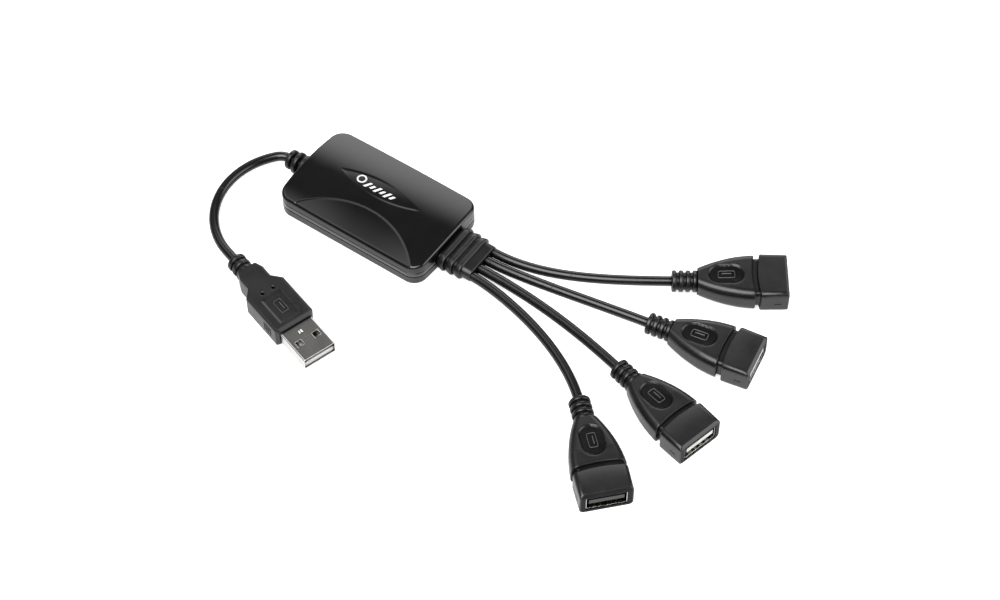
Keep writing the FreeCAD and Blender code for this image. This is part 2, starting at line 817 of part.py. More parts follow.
def socket_overmould(port):
    body = new_body("socket_%d_overmould" % port)
    # the bullet-shaped body behind the groove, a little thinner towards the tail
    plan = add_sketch(body, "XY_Plane")
    draw_outline(plan, [
        ("-socket_ribs_end", "-socket_tail_width / 2"),
        ("-groove_back", "-socket_belly_width / 2", "-belly_bulge_at", "-belly_bulge_width / 2"),
        ("-groove_back", "socket_belly_width / 2", "-groove_back - groove_bow", "0"),
        ("-socket_ribs_end", "socket_tail_width / 2", "-belly_bulge_at", "belly_bulge_width / 2"),
    ])
    add_feature(body, "Pad", plan, Length="socket_height", Midplane=True)
    side = add_sketch(body, "XZ_Plane")
    for sign in ("", "-"):
        draw_outline(side, [
            ("-socket_ribs_end - 1", "%s(socket_tail_height / 2)" % sign),
            ("-belly_flat_at", "%s(socket_height / 2)" % sign),
            ("-belly_flat_at", "%s(socket_height / 2 + 1)" % sign),
            ("-socket_ribs_end - 1", "%s(socket_height / 2 + 1)" % sign),
        ])
    add_feature(body, "Pocket", side, Length="2 * socket_width", Midplane=True)
    far = size("socket_length")
    back, front = -size("groove_back"), -size("groove_front")
    margin = size("clearance")
    round_rims(body, -far, back + margin, "socket_body_round", "socket_tail_height / 2")

    # the neck under the groove, then the cap in front of it
    neck = add_sketch(body, "XY_Plane")
    draw_rectangle(neck, "socket_neck_back - socket_neck_front", "socket_width - 2 * groove_depth",
                   "-(socket_neck_back + socket_neck_front) / 2")
    add_feature(body, "Pad", neck, Length="socket_height - 2 * groove_depth", Midplane=True)
    cap = add_sketch(body, "XY_Plane")
    draw_outline(cap, [
        ("-groove_front", "-socket_width / 2", "-groove_front - groove_bow", "0"),
        ("0", "-socket_width / 2 + cap_taper"),
        ("0", "socket_width / 2 - cap_taper"),
        ("-groove_front", "socket_width / 2"),
    ])
    add_feature(body, "Pad", cap, Length="socket_height", Midplane=True)
    round_rims(body, front - margin, margin, "socket_cap_round", "socket_height / 2")
    document.recompute()
    mouth_edges = edges_within(body.Shape, (-margin, -far, -far), (margin, far, far))
    round_edges(body, mouth_edges, "socket_front_round")
    bevel = add_sketch(body, "XZ_Plane")
    draw_outline(bevel, [
        ("-socket_front_bevel", "socket_height / 2"),
        ("0", "socket_height / 2 - socket_front_bevel"),
        ("0", "socket_height / 2"),
    ])
    add_feature(body, "Pocket", bevel, Length="2 * socket_width", Midplane=True)
    ribbed_tail(body, "socket_", 4, "-socket_ribs_end + 1")

    # hollows for the cable, the inner mould and the receptacle, and the oval for the mark
    bore = add_sketch(body, "YZ_Plane", "-socket_length")
    draw_circle(bore, "cable_radius + cable_clearance")
    add_feature(body, "Pocket", bore, Length="cable_in_socket + clearance", Reversed=True)
    hollow = add_sketch(body, "YZ_Plane")
    draw_rectangle(hollow, "mouth_width + 2 * (sheet_metal + clearance)",
                   "mouth_height + 2 * (sheet_metal + clearance)")
    add_feature(body, "Pocket", hollow, Length="receptacle_length + receptacle_setback + clearance")
    core = add_sketch(body, "YZ_Plane")
    draw_rectangle(core, "inner_mould_width + 2 * clearance", "inner_mould_height + 2 * clearance")
    add_feature(body, "Pocket", core, Length="inner_mould_end + clearance")
    oval = add_sketch(body, "XY_Plane", "socket_height / 2")
    bind(oval, "AttachmentOffset.Base.x", "-mark_centre")
    draw_obround(oval, "mark_length", "mark_width")
    add_feature(body, "Pocket", oval, Length="mark_depth")
    place_at_socket(body, port)
    return body


def socket_inner_mould(port):
    """The stiff block behind the receptacle that holds the soldered cores."""
    body = new_body("socket_%d_inner_mould" % port)
    block = add_sketch(body, "YZ_Plane", "-receptacle_setback - receptacle_length - clearance")
    draw_rectangle(block, "inner_mould_width", "inner_mould_height")
    add_feature(body, "Pad", block, Reversed=True,
                Length="inner_mould_end - receptacle_setback - receptacle_length - clearance")
    place_at_socket(body, port)
    return body


def socket_shell(port):
    """The folded metal shell: a tube with a back wall, and two sprung windows on each face."""
    body = new_body("socket_%d_shell" % port)
    outer = add_sketch(body, "YZ_Plane", "-receptacle_setback")
    draw_rectangle(outer, "mouth_width + 2 * sheet_metal", "mouth_height + 2 * sheet_metal")
    add_feature(body, "Pad", outer, Length="receptacle_length", Reversed=True)
    inner = add_sketch(body, "YZ_Plane", "-receptacle_setback")
    draw_rectangle(inner, "mouth_width", "mouth_height")
    add_feature(body, "Pocket", inner, Length="receptacle_length - sheet_metal")
    windows = add_sketch(body, "XY_Plane")
    for side in ("-", ""):
        draw_rectangle(windows, "spring_length", "spring_width", "-spring_centre",
                       "%sspring_side" % side)
    add_feature(body, "Pocket", windows, Length="3 * mouth_height", Midplane=True)
    place_at_socket(body, port)
    return body


def socket_tongue(port):
    """The insulating base at the back of the receptacle and the tongue that stands out of it."""
    body = new_body("socket_%d_tongue" % port)
    back = "-receptacle_setback - receptacle_length + sheet_metal + clearance"
    base = add_sketch(body, "YZ_Plane", back)
    draw_rectangle(base, "mouth_width - 2 * clearance", "mouth_height - 2 * clearance")
    add_feature(body, "Pad", base, Length="tongue_base")
    tongue = add_sketch(body, "YZ_Plane", back)
    draw_rectangle(tongue, "tongue_width", "tongue_thick", "0", "tongue_raise")
    add_feature(body, "Pad", tongue, Length="tongue_base + tongue_length")
    place_at_socket(body, port)
    return body


def contact_strips(label, front, length, height):
    """Four flat contacts side by side, given by where they start and the height of their middle."""
    strips = []
    for side in ("-contact_outer", "-contact_inner", "contact_inner", "contact_outer"):
        strips.append(new_box(label + "_strip", length, "contact_width", "contact_thick",
                              "%s - (%s) / 2" % (front, length), side, height))
    return group_of(label, strips)


def socket_contacts(port):
    """The four contacts, against the tongue's lower face."""
    tongue_tip = "-receptacle_setback - receptacle_length + sheet_metal + tongue_base + tongue_length"
    underside = "tongue_raise - tongue_thick / 2 - contact_thick - contact_gap"
    group = contact_strips("socket_%d_contacts" % port, tongue_tip + " - contact_setback",
                           "socket_contact_length", underside)
    place_at_socket(group, port)
    return group


# ---------------------------------------------------------------- the plug

def place_at_plug(item):
    tail = lead_course()[1]
    heading = size("plug_heading")
    tip = tail + heading_vector(heading) * size("plug_length")
    tip.z = size("lead_height")
    item.Placement = FreeCAD.Placement(tip, FreeCAD.Rotation(FreeCAD.Vector(0, 0, 1), heading))


def plug_overmould():
    body = new_body("plug_overmould")
    plan = add_sketch(body, "XY_Plane")
    half = [
        ("-plug_front", "plug_width / 2"),
        ("-plug_wide_end", "plug_width / 2"),
        ("-plug_neck_start", "plug_neck_width / 2"),
        ("-plug_neck_end", "plug_neck_width / 2"),
        ("-plug_ribs_end", "plug_tail_width / 2"),
    ]
    draw_outline(plan, half + [(x, "-" + y) for x, y in reversed(half)])
    add_feature(body, "Pad", plan, Length="plug_height", Midplane=True)
    document.recompute()
    far = size("plug_length")
    front = -size("plug_front")
    margin = size("clearance")
    names = edges_within(body.Shape, (front - margin, -far, -far), (front + margin, far, far))
    round_edges(body, names, "plug_front_bevel", "Chamfer")
    behind_bevel = front - size("plug_front_bevel") + margin
    round_rims(body, -far, behind_bevel, "plug_edge_round", "plug_height / 2")
    ribbed_tail(body, "plug_", 3, "-plug_ribs_end + 1")
    bore = add_sketch(body, "YZ_Plane", "-plug_length")
    draw_circle(bore, "cable_radius + cable_clearance")
    add_feature(body, "Pocket", bore, Length="cable_in_plug + clearance", Reversed=True)
    hollow = add_sketch(body, "YZ_Plane")
    draw_rectangle(hollow, "plug_shell_width + 2 * clearance", "plug_shell_height + 2 * clearance")
    add_feature(body, "Pocket", hollow, Length="plug_inner_mould_end + clearance")
    panel = add_sketch(body, "XY_Plane", "plug_height / 2")
    draw_rectangle(panel, "plug_panel_end - plug_panel_start", "plug_panel_width",
                   "-(plug_panel_start + plug_panel_end) / 2")
    add_feature(body, "Pocket", panel, Length="plug_panel_depth")
    place_at_plug(body)
    return body


def plug_shell():
    """The metal shell: a tube with two windows through its upper and lower faces."""
    body = new_body("plug_shell")
    outer = add_sketch(body, "YZ_Plane")
    draw_rectangle(outer, "plug_shell_width", "plug_shell_height")
    add_feature(body, "Pad", outer, Length="plug_shell_length", Reversed=True)
    round_rims(body, -size("plug_length"), size("clearance"), "plug_shell_round",
               "plug_shell_height / 2")
    inner = add_sketch(body, "YZ_Plane")
    draw_rectangle(inner, "plug_shell_width - 2 * sheet_metal", "plug_shell_height - 2 * sheet_metal")
    add_feature(body, "Pocket", inner, Length="plug_shell_length")
    windows = add_sketch(body, "XY_Plane")
    for side in ("-", ""):
        draw_rectangle(windows, "plug_window_length", "plug_window_width",
                       "-plug_window_centre", "%splug_window_side" % side)
    add_feature(body, "Pocket", windows, Length="2 * plug_shell_height", Midplane=True)
    place_at_plug(body)
    return body


def plug_insulator():
    """The block that fills the lower half of the shell and carries the contacts."""
    body = new_body("plug_insulator")
    block = add_sketch(body, "YZ_Plane", "-insulator_setback")
    floor = "-plug_shell_height / 2 + sheet_metal + clearance"
    draw_rectangle(block, "plug_shell_width - 2 * (sheet_metal + clearance)",
                   "plug_insulator_thick", "0", floor + " + plug_insulator_thick / 2")
    add_feature(body, "Pad", block, Length="plug_shell_length - insulator_setback", Reversed=True)
    place_at_plug(body)
    return body


def plug_contacts():
    """The four contacts, on the insulator's upper face."""
    floor = "-plug_shell_height / 2 + sheet_metal + clearance"
    group = contact_strips("plug_contacts", "-insulator_setback - contact_setback",
                           "plug_contact_length", floor + " + plug_insulator_thick + contact_gap")
    place_at_plug(group)
    return group


def plug_inner_mould():
    """The stiff block behind the shell that holds the soldered cores."""
    body = new_body("plug_inner_mould")
    block = add_sketch(body, "YZ_Plane", "-plug_shell_length - clearance")
    draw_rectangle(block, "plug_inner_mould_width", "plug_inner_mould_height")
    add_feature(body, "Pad", block, Length="plug_inner_mould_end - plug_shell_length - clearance",
                Reversed=True)
    place_at_plug(body)
    return body


# ---------------------------------------------------------------- building and writing

def build_all():
    top_cover()
    bottom_cover()
    circuit_board()
    hub_controller()
    controller_leads()
    crystal()
    chip_parts("capacitors", "capacitor", 4)
    chip_parts("resistors", "resistor", 6)
    fan_relief()
    lead_relief()
    for port in PORTS:
        port_cable(port)
        cable_cores("port_%d_cores" % port, "cable_inside - clearance", size(bore_offset(port)),
                    size("fan_height"), "board_centre + board_length / 2 - pad_inset")
        socket_overmould(port)
        socket_inner_mould(port)
        socket_shell(port)
        socket_tongue(port)
        socket_contacts(port)
    lead_cable()
    cable_cores("lead_cores", "lead_inside + clearance", 0, size("lead_height"),
                "board_centre - board_length / 2 + pad_inset")
    plug_overmould()
    plug_inner_mould()
    plug_shell()
    plug_insulator()
    plug_contacts()


def check_all():
    document.recompute()
    for item in document.Objects:
        if "Invalid" in item.State or "Error" in item.State:
            raise RuntimeError("%s failed: %s" % (item.Label, item.getStatusString()))
    for item in finished:
        if item.Shape.isNull() or not item.Shape.isValid() or not item.Shape.Solids:
            raise RuntimeError("%s has no sound solid" % item.Label)


def write_all():
    os.makedirs("parts", exist_ok=True)
    for item in finished:
        item.Shape.exportStep("parts/%s.step" % item.Label)


fill_sheet()
build_all()
check_all()
write_all()
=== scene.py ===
import json
import math

import bmesh
import bpy
from mathutils import Matrix, Vector


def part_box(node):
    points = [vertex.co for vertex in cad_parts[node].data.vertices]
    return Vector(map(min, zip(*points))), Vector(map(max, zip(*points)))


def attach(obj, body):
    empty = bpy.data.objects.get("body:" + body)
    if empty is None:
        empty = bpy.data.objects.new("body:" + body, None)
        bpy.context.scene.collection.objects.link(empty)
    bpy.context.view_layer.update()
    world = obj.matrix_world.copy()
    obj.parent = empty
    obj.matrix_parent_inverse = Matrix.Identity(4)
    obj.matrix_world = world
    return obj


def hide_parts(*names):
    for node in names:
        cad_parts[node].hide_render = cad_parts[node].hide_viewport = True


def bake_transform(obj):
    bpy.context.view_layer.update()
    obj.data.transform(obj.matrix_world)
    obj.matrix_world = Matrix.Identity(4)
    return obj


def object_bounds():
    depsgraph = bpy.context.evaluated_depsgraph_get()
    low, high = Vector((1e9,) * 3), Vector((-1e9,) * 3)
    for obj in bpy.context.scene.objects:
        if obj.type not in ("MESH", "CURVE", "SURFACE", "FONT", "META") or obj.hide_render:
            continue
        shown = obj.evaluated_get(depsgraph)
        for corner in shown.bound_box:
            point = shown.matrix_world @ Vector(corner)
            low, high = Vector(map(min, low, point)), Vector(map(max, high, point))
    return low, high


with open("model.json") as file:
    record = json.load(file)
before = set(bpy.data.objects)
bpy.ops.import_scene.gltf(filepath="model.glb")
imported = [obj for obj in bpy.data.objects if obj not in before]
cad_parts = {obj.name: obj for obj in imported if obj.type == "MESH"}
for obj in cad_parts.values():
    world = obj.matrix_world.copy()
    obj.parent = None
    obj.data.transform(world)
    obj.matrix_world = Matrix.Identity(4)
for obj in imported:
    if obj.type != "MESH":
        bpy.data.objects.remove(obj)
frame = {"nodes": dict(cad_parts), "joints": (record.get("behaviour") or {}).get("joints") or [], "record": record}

# A four-port USB hub. The frame holds metres; sizes below are in millimetres.
MM = 0.001
PORTS = (1, 2, 3, 4)
CAD_LOW, CAD_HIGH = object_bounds()
SCENE = bpy.context.scene
UP = Vector((0, 0, 1))


# ---- places read from the frame

def box_mm(node):
    low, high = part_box(node)
    return low / MM, high / MM


def named(items, name):
    return next(item for item in items if item["name"] == name)


def place_at_mount(name):
    """The frame of a plug or socket: its mouth at X = 0 facing +X, in millimetres."""
    mount = named(frame["record"]["mounts"], name)
    facing = Vector(mount["axis"]).normalized()
    side = UP.cross(facing)
    turn = Matrix((facing, side, UP)).transposed().to_4x4()
    return Matrix.Translation(Vector(mount["pos_m"]) / MM) @ turn


def local_box(node, place):
    """A node's lowest and highest corners in a connector's own frame, in millimetres."""
    back = place.inverted()
    points = [back @ (vertex.co / MM) for vertex in frame["nodes"][node].data.vertices]
    low = Vector(min(point[axis] for point in points) for axis in range(3))
    high = Vector(max(point[axis] for point in points) for axis in range(3))
    return low, high


def port_y(port):
    """Where across the case a port's cable leaves its relief."""
    low, high = box_mm("port_%d_cores" % port)
    return (low.y + high.y) / 2


# ---- mesh helpers

def new_piece(name, skin, finish, place=None, sharp_angle=40):
    """A mesh object from points in millimetres and faces, smooth up to the sharp angle."""
    points, faces = skin
    place = place or Matrix.Identity(4)
    mesh = bpy.data.meshes.new(name)
    mesh.from_pydata([(place @ Vector(point)) * MM for point in points], [], faces)
    work = bmesh.new()
    work.from_mesh(mesh)
    bmesh.ops.remove_doubles(work, verts=work.verts, dist=0.002 * MM)
    bmesh.ops.recalc_face_normals(work, faces=work.faces)
    work.to_mesh(mesh)
    work.free()
    finish_shading(mesh, sharp_angle)
    mesh.materials.append(MATERIALS[finish])
    piece = bpy.data.objects.new(name, mesh)
    SCENE.collection.objects.link(piece)
    return piece


def finish_shading(mesh, sharp_angle=40):
    for face in mesh.polygons:
        face.use_smooth = True
    mesh.set_sharp_from_angle(angle=math.radians(sharp_angle))


def skin_through(rings, looped=False, capped=True):
    """Points and faces of a skin through rings with equally many points. It runs from the last
    ring back to the first if looped; otherwise its ends are fanned shut, or left if not capped."""
    count = len(rings[0])
    points = [point for ring in rings for point in ring]
    faces = []
    for row in range(len(rings) if looped else len(rings) - 1):
        low, high = row * count, (row + 1) % len(rings) * count
        for step in range(count):
            following = (step + 1) % count
            faces.append((low + step, low + following, high + following, high + step))
    if looped or not capped:
        return points, faces
    for row in (0, len(rings) - 1):
        points.append(sum((Vector(point) for point in rings[row]), Vector()) / count)
        for step in range(count):
            following = (step + 1) % count
            faces.append((row * count + step, row * count + following, len(points) - 1))
    return points, faces


def joined(skins):
    """Several skins' points and faces as one."""
    points, faces = [], []
    for more_points, more_faces in skins:
        start = len(points)
        points += more_points
        faces += [tuple(start + corner for corner in face) for face in more_faces]
    return points, faces


def cut_away(piece, cutter):
    """Subtract one closed mesh from another and drop the cutter."""
    modifier = piece.modifiers.new("cut", "BOOLEAN")
    modifier.operation = "DIFFERENCE"
    modifier.solver = "EXACT"
    modifier.object = cutter
    graph = bpy.context.evaluated_depsgraph_get()
    mesh = bpy.data.meshes.new_from_object(piece.evaluated_get(graph))
    piece.modifiers.clear()
    old = piece.data
    piece.data = mesh
    bpy.data.meshes.remove(old)
    bpy.data.objects.remove(cutter)
    finish_shading(piece.data)


def smooth_step(share):
    share = min(1.0, max(0.0, share))
    return share * share * (3 - 2 * share)


def arc_through(first, middle, last):
    """The height over x of the arc that runs through three points."""
    (ax, ay), (bx, by), (cx, cy) = first, middle, last
    twice = 2 * (ax * (by - cy) + bx * (cy - ay) + cx * (ay - by))
    a2, b2, c2 = ax * ax + ay * ay, bx * bx + by * by, cx * cx + cy * cy
    centre_x = (a2 * (by - cy) + b2 * (cy - ay) + c2 * (ay - by)) / twice
    centre_y = (a2 * (cx - bx) + b2 * (ax - cx) + c2 * (bx - ax)) / twice
    radius = math.hypot(ax - centre_x, ay - centre_y)
    side = 1 if by > centre_y else -1
    return lambda x: centre_y + side * math.sqrt(max(0.0, radius ** 2 - (x - centre_x) ** 2))


def section_ring(x, half_width, half_height, radius, bow, counts):
    """A rounded rectangle across a connector; bow sets its middle back from its sides."""
    top, side, bottom, corner = counts
    radius = min(radius, half_width, half_height)
    core_y, core_z = half_width - radius, half_height - radius
    signs = ((1, 1), (-1, 1), (-1, -1), (1, -1))
    ring = []
    for number, steps in enumerate((top, side, bottom, side)):
        centre = Vector((signs[number][0] * core_y, signs[number][1] * core_z))
        following = signs[(number + 1) % 4]
        for step in range(corner + 1):
            angle = math.pi / 2 * (number + step / corner)
            out = Vector((math.cos(angle), math.sin(angle)))
            ring.append(centre + radius * out)
        last = ring[-1]
        goal = Vector((following[0] * core_y, following[1] * core_z)) + radius * out
        for step in range(1, steps):
            ring.append(last.lerp(goal, step / steps))
    return [Vector((x - bow * (1 - (y / half_width) ** 2), y, z)) for y, z in ring]


def round_section(x, radius):
    return x, radius, radius, radius, 0


def flat_section(x, size, less=0.0):
    """A section with fully round sides, from its half width and half height."""
    half_width, half_height = size[0] - less, size[1] - less
    return x, half_width, half_height, half_height, 0


def round_edge(radius, steps):
    """Over a rounded edge, from its face to its side: how far along, and how far inwards."""
    turns = [math.pi / 2 * step / steps for step in range(steps + 1)]
    return [(radius * (1 - math.cos(turn)), radius * (1 - math.sin(turn))) for turn in turns]


# ---- material helpers

def start_material(name):
    material = bpy.data.materials.new(name)
    material.use_nodes = True
    tree = material.node_tree
    tree.nodes.clear()
    surface = add_node(tree, "BsdfPrincipled", {})
    add_node(tree, "OutputMaterial", {"Surface": surface.outputs["BSDF"]})
    return material, tree, surface


def feed(tree, node, inputs):
    """Sets a node's inputs, by name or number, to values or to other nodes' outputs."""
    for name, value in inputs.items():
        if isinstance(value, bpy.types.NodeSocket):
            tree.links.new(value, node.inputs[name])
        else:
            node.inputs[name].default_value = value


def add_node(tree, kind, inputs, **settings):
    node = tree.nodes.new("ShaderNode" + kind)
    for name, value in settings.items():
        setattr(node, name, value)
    feed(tree, node, inputs)
    return node


def grain(tree, size, detail=2.0, stretch=(1, 1, 1)):
    """Noise whose blotches are about size millimetres across, from 0 to 1."""
    place = add_node(tree, "TexCoord", {}).outputs["Object"]
    turned = add_node(tree, "Mapping", {"Vector": place, "Scale": stretch})
    noise = add_node(tree, "TexNoise", {
        "Vector": turned.outputs["Vector"], "Scale": 1 / (size * MM), "Detail": detail})
    return noise.outputs["Fac"]


def spread(tree, value, low, high, from_low=0.3, from_high=0.7, **settings):
    """A value brought from one range to another, held inside it."""
    ranged = add_node(tree, "MapRange", {
        "Value": value, "From Min": from_low, "From Max": from_high,
        "To Min": low, "To Max": high}, **settings)
    return ranged.outputs["Result"]


def combine(tree, operation, first, second):
    return add_node(tree, "Math", {0: first, 1: second}, operation=operation).outputs["Value"]


def grey(level, blue=None):
    """A colour that is grey unless its blue is given."""
    return level, level, blue or level, 1


def tinted(colour, strength):
    return tuple(min(1.0, channel * strength) for channel in colour[:3]) + (1,)


def mix_colour(tree, share, first, second):
    mixed = add_node(tree, "MixRGB", {"Fac": share, "Color1": first, "Color2": second})
    return mixed.outputs["Color"]


def bump(tree, height, depth, normal=None):
    inputs = {"Height": height, "Distance": depth * MM}
    if normal is not None:
        inputs["Normal"] = normal
    return add_node(tree, "Bump", inputs).outputs["Normal"]


def edge_mask(tree, radius):
    """1 on sharp edges, fading to 0 away from them, and the normal softened there."""
    soft = add_node(tree, "Bevel", {"Radius": radius * MM}, samples=6).outputs["Normal"]
    true = add_node(tree, "NewGeometry", {}).outputs["Normal"]
    agree = add_node(tree, "VectorMath", {0: soft, 1: true}, operation="DOT_PRODUCT")
    return spread(tree, agree.outputs["Value"], 1.0, 0.0, 0.8, 0.99), soft


def paint_crease_shade(tree, surface, colour, specular, reach):
    """Gives a surface its colour with painted shade: the colour goes black and the shine dull in gaps within reach
    millimetres, where shade falls.
    """
    seen = add_node(tree, "AmbientOcclusion", {"Distance": reach * MM}, samples=4).outputs["AO"]
    share = spread(tree, seen, 0.0, 1.0, 0.4, 0.95)
    feed(tree, surface, {"Base Color": mix_colour(tree, share, grey(0.0), colour),
                         "Specular IOR Level": spread(tree, share, 0.0, specular, 0.0, 1.0)})


def moulded(name, colour, worn, rough, grain_size, grain_depth, edge=0.25, specular=0.5,
            crease=1.2):
    """Moulded plastic: fine grain, blotchy sheen, slow colour drift and rubbed edges, with painted shade that
    blackens and dulls it in narrow gaps. rough is a range, crease the width of the gaps that get this painted
    shade, and sizes are in millimetres."""
    material, tree, surface = start_material(name)
    mask, soft = edge_mask(tree, edge)
    blotch = grain(tree, 6.0, 3.0)
    fine = grain(tree, grain_size, 3.0)
    rub = combine(tree, "MULTIPLY", mask, spread(tree, grain(tree, 1.2), 0.1, 0.7))
    drift = mix_colour(tree, spread(tree, blotch, 0.0, 1.0), colour, tinted(colour, 1.25))
    paint_crease_shade(tree, surface, mix_colour(tree, rub, drift, worn), specular, crease)
    sheen = combine(tree, "ADD", spread(tree, blotch, *rough), spread(tree, fine, -0.04, 0.04))
    feed(tree, surface, {"Roughness": sheen, "Normal": bump(tree, fine, grain_depth, soft)})
    return material


def gloss_plastic():
    """Polished black plastic: a clear gloss with faint haze, hairline scratches and dust."""
    material, tree, surface = start_material("gloss_plastic")
    haze = grain(tree, 9.0, 3.0)
    scratch_one = grain(tree, 0.3, 1.0, (0.06, 2.2, 1.0))
    scratch_two = grain(tree, 0.4, 1.0, (1.8, 0.05, 1.0))
    lines = combine(tree, "MAXIMUM", scratch_one, scratch_two)
    hairline = spread(tree, lines, 0.0, 1.0, 0.74, 0.82)
    dust = spread(tree, grain(tree, 0.3, 1.0), 0.0, 1.0, 0.8, 0.86)
    marks = combine(tree, "MAXIMUM", hairline, dust)
    colour = mix_colour(tree, spread(tree, haze, 0.0, 1.0),
                        grey(0.003, 0.0032), grey(0.0045, 0.0048))
    marked = mix_colour(tree, spread(tree, marks, 0.0, 0.12, 0.0, 1.0), colour, grey(0.06))
    # painted shade: the gloss goes black and dull in gaps within 1.2 millimetres
    paint_crease_shade(tree, surface, marked, specular=0.5, reach=1.2)
    rough = combine(tree, "ADD", spread(tree, haze, 0.05, 0.1),
                    spread(tree, marks, 0.0, 0.08, 0.0, 1.0))
    peel = bump(tree, grain(tree, 1.6, 1.0), 0.0008)
    feed(tree, surface, {"Roughness": rough, "Normal": bump(tree, marks, 0.0006, peel)})
    return material


def rolled_metal(name, colour, rough):
    """Plated sheet metal: fine grain, cloudy sheen and bright edges."""
    material, tree, surface = start_material(name)
    mask, soft = edge_mask(tree, 0.18)
    fine = grain(tree, 0.12)
    cloud = grain(tree, 5.0)
    shade = mix_colour(tree, spread(tree, cloud, 0.0, 1.0), colour, tinted(colour, 0.92))
    edged = mix_colour(tree, mask, shade, tinted(colour, 1.15))
    # painted shade: the metal goes black and dull in gaps within 2 millimetres
    paint_crease_shade(tree, surface, edged, specular=0.5, reach=2.0)
    sheen = combine(tree, "ADD", spread(tree, cloud, *rough), spread(tree, fine, -0.03, 0.03))
    feed(tree, surface, {"Metallic": 1.0, "Roughness": sheen,
                         "Normal": bump(tree, fine, 0.0008, soft)})
    return material


def board_material():
    """Solder mask with faint copper tracks under it."""
    material, tree, surface = start_material("board_mask")
    place = add_node(tree, "TexCoord", {}).outputs["Object"]
    tracks = add_node(tree, "TexBrick", {
        "Vector": place, "Scale": 260.0, "Mortar Size": 0.06,
        "Color1": (0.006, 0.07, 0.022, 1), "Color2": (0.008, 0.085, 0.028, 1),
        "Mortar": (0.012, 0.13, 0.045, 1)})
    feed(tree, surface, {"Base Color": tracks.outputs["Color"],
                         "Roughness": spread(tree, grain(tree, 2.0), 0.25, 0.4),
                         "Normal": bump(tree, tracks.outputs["Fac"], 0.02)})
    return material


def ink_material():
    """White pad-printed ink: slightly uneven cover and a soft sheen."""
    material, tree, surface = start_material("white_ink")
    cover = grain(tree, 0.5, 3.0)
    colour = mix_colour(tree, spread(tree, cover, 0.0, 1.0), grey(0.8), grey(0.62, 0.63))
    feed(tree, surface, {"Base Color": colour, "Roughness": spread(tree, cover, 0.35, 0.5),
                         "Normal": bump(tree, cover, 0.004)})
    return material


def floor_material():
    """A pale floor, uneven and with a trace of sheen, that glows only for the camera."""
    material, tree, surface = start_material("studio_floor")
    cloud = grain(tree, 400.0)
    colour = mix_colour(tree, spread(tree, cloud, 0.0, 1.0), grey(0.93), grey(0.9, 0.905))
    seen = add_node(tree, "LightPath", {}).outputs["Is Camera Ray"]
    feed(tree, surface, {"Base Color": colour, "Roughness": spread(tree, cloud, 0.3, 0.4),
                         "Normal": bump(tree, grain(tree, 2.0), 0.01),
                         "Emission Color": grey(1.0),
                         "Emission Strength": spread(tree, seen, 0.0, 0.6, 0.0, 1.0)})
    return material


# each moulded plastic's colour, colour where worn, roughness range, grain's size and depth, and what else differs
# from moulded's usual values, such as the width of the gaps that get painted shade
PLASTICS = {
    "case_plastic": (grey(0.008, 0.0083), grey(0.03), (0.16, 0.24), 0.12, 0.002, {}),
    "moulding": (grey(0.0065, 0.00676), grey(0.04), (0.27, 0.34), 0.09, 0.003, {}),
    "polished_moulding": (grey(0.003, 0.0032), grey(0.02), (0.1, 0.16), 0.12, 0.001, {}),
    # the dark face round the sockets' mouths, weak in shine, is painted shade on their fronts
    "mouth_shade_face": (grey(0.003), grey(0.02), (0.4, 0.5), 0.09, 0.003, {"specular": 0.12}),
    "raised_mark": (grey(0.05), grey(0.09), (0.15, 0.25), 0.12, 0.002, {"crease": 0.1}),
    "cable_jacket": (grey(0.004, 0.0042), grey(0.03), (0.17, 0.25), 0.07, 0.003, {}),
    "receptacle_plastic": (grey(0.012), grey(0.04), (0.1, 0.18), 0.15, 0.001, {"edge": 0.2}),
    # the pale tongue gets painted shade over a wide reach, deep in the mouth
    "pale_plastic": (grey(0.55, 0.53), grey(0.6, 0.58), (0.35, 0.5), 0.12, 0.003, {"crease": 2.4}),
    "chip_plastic": (grey(0.018, 0.019), grey(0.05), (0.45, 0.6), 0.06, 0.004, {}),
    "chip_ceramic": ((0.3, 0.2, 0.12, 1), (0.4, 0.3, 0.2, 1), (0.3, 0.45), 0.08, 0.003, {}),
    "core_insulation": ((0.35, 0.06, 0.05, 1), (0.45, 0.12, 0.1, 1), (0.3, 0.45), 0.1, 0.003, {}),
}
# each metal's colour and roughness range
METALS = {
    "shell_metal": ((0.68, 0.67, 0.65, 1), (0.13, 0.18)),
    "contact_metal": ((0.86, 0.66, 0.32, 1), (0.2, 0.32)),
    "crystal_can": (grey(0.7), (0.22, 0.35)),
}


def make_materials():
    """One material for each of the record's material slots, and those of the new pieces."""
    made = {"gloss": gloss_plastic(), "board": board_material(), "ink": ink_material(),
            "floor": floor_material()}
    for name, (*look, extra) in PLASTICS.items():
        made[name] = moulded(name + "_finish", *look, **extra)
    for name, look in METALS.items():
        made[name] = rolled_metal(name + "_finish", *look)
    return made


MATERIALS = make_materials()


def finish_cad_nodes():
    """Each carried-over CAD node takes the finish of its material slot."""
    for node in frame["nodes"].values():
        for slot in node.material_slots:
            slot.material = MATERIALS[slot.material.name.split(".")[0]]


finish_cad_nodes()


# ---- the case's top

CASE_LOW, CASE_HIGH = box_mm("top_cover")
HALF_LENGTH, HALF_WIDTH, TOP = CASE_HIGH
PARTING = CASE_LOW.z
CORNER = 5.0
END_BOW = 0.8
CROWN_ACROSS = 1.4
CROWN_ALONG = 0.5
EDGE_ROUND = 0.9
WALL = 1.5
ROOF = 6.9
SEAM_HEIGHT = 5.4
SEAM_WIDTH = 0.3
SEAM_DEPTH = 0.18
# where the openings for the strain reliefs' necks start and end, from the middle
NECK_CUT = (6.9, HALF_LENGTH + 2)
PRINT_ROOT = 0.05
PRINT_RISE = 0.03
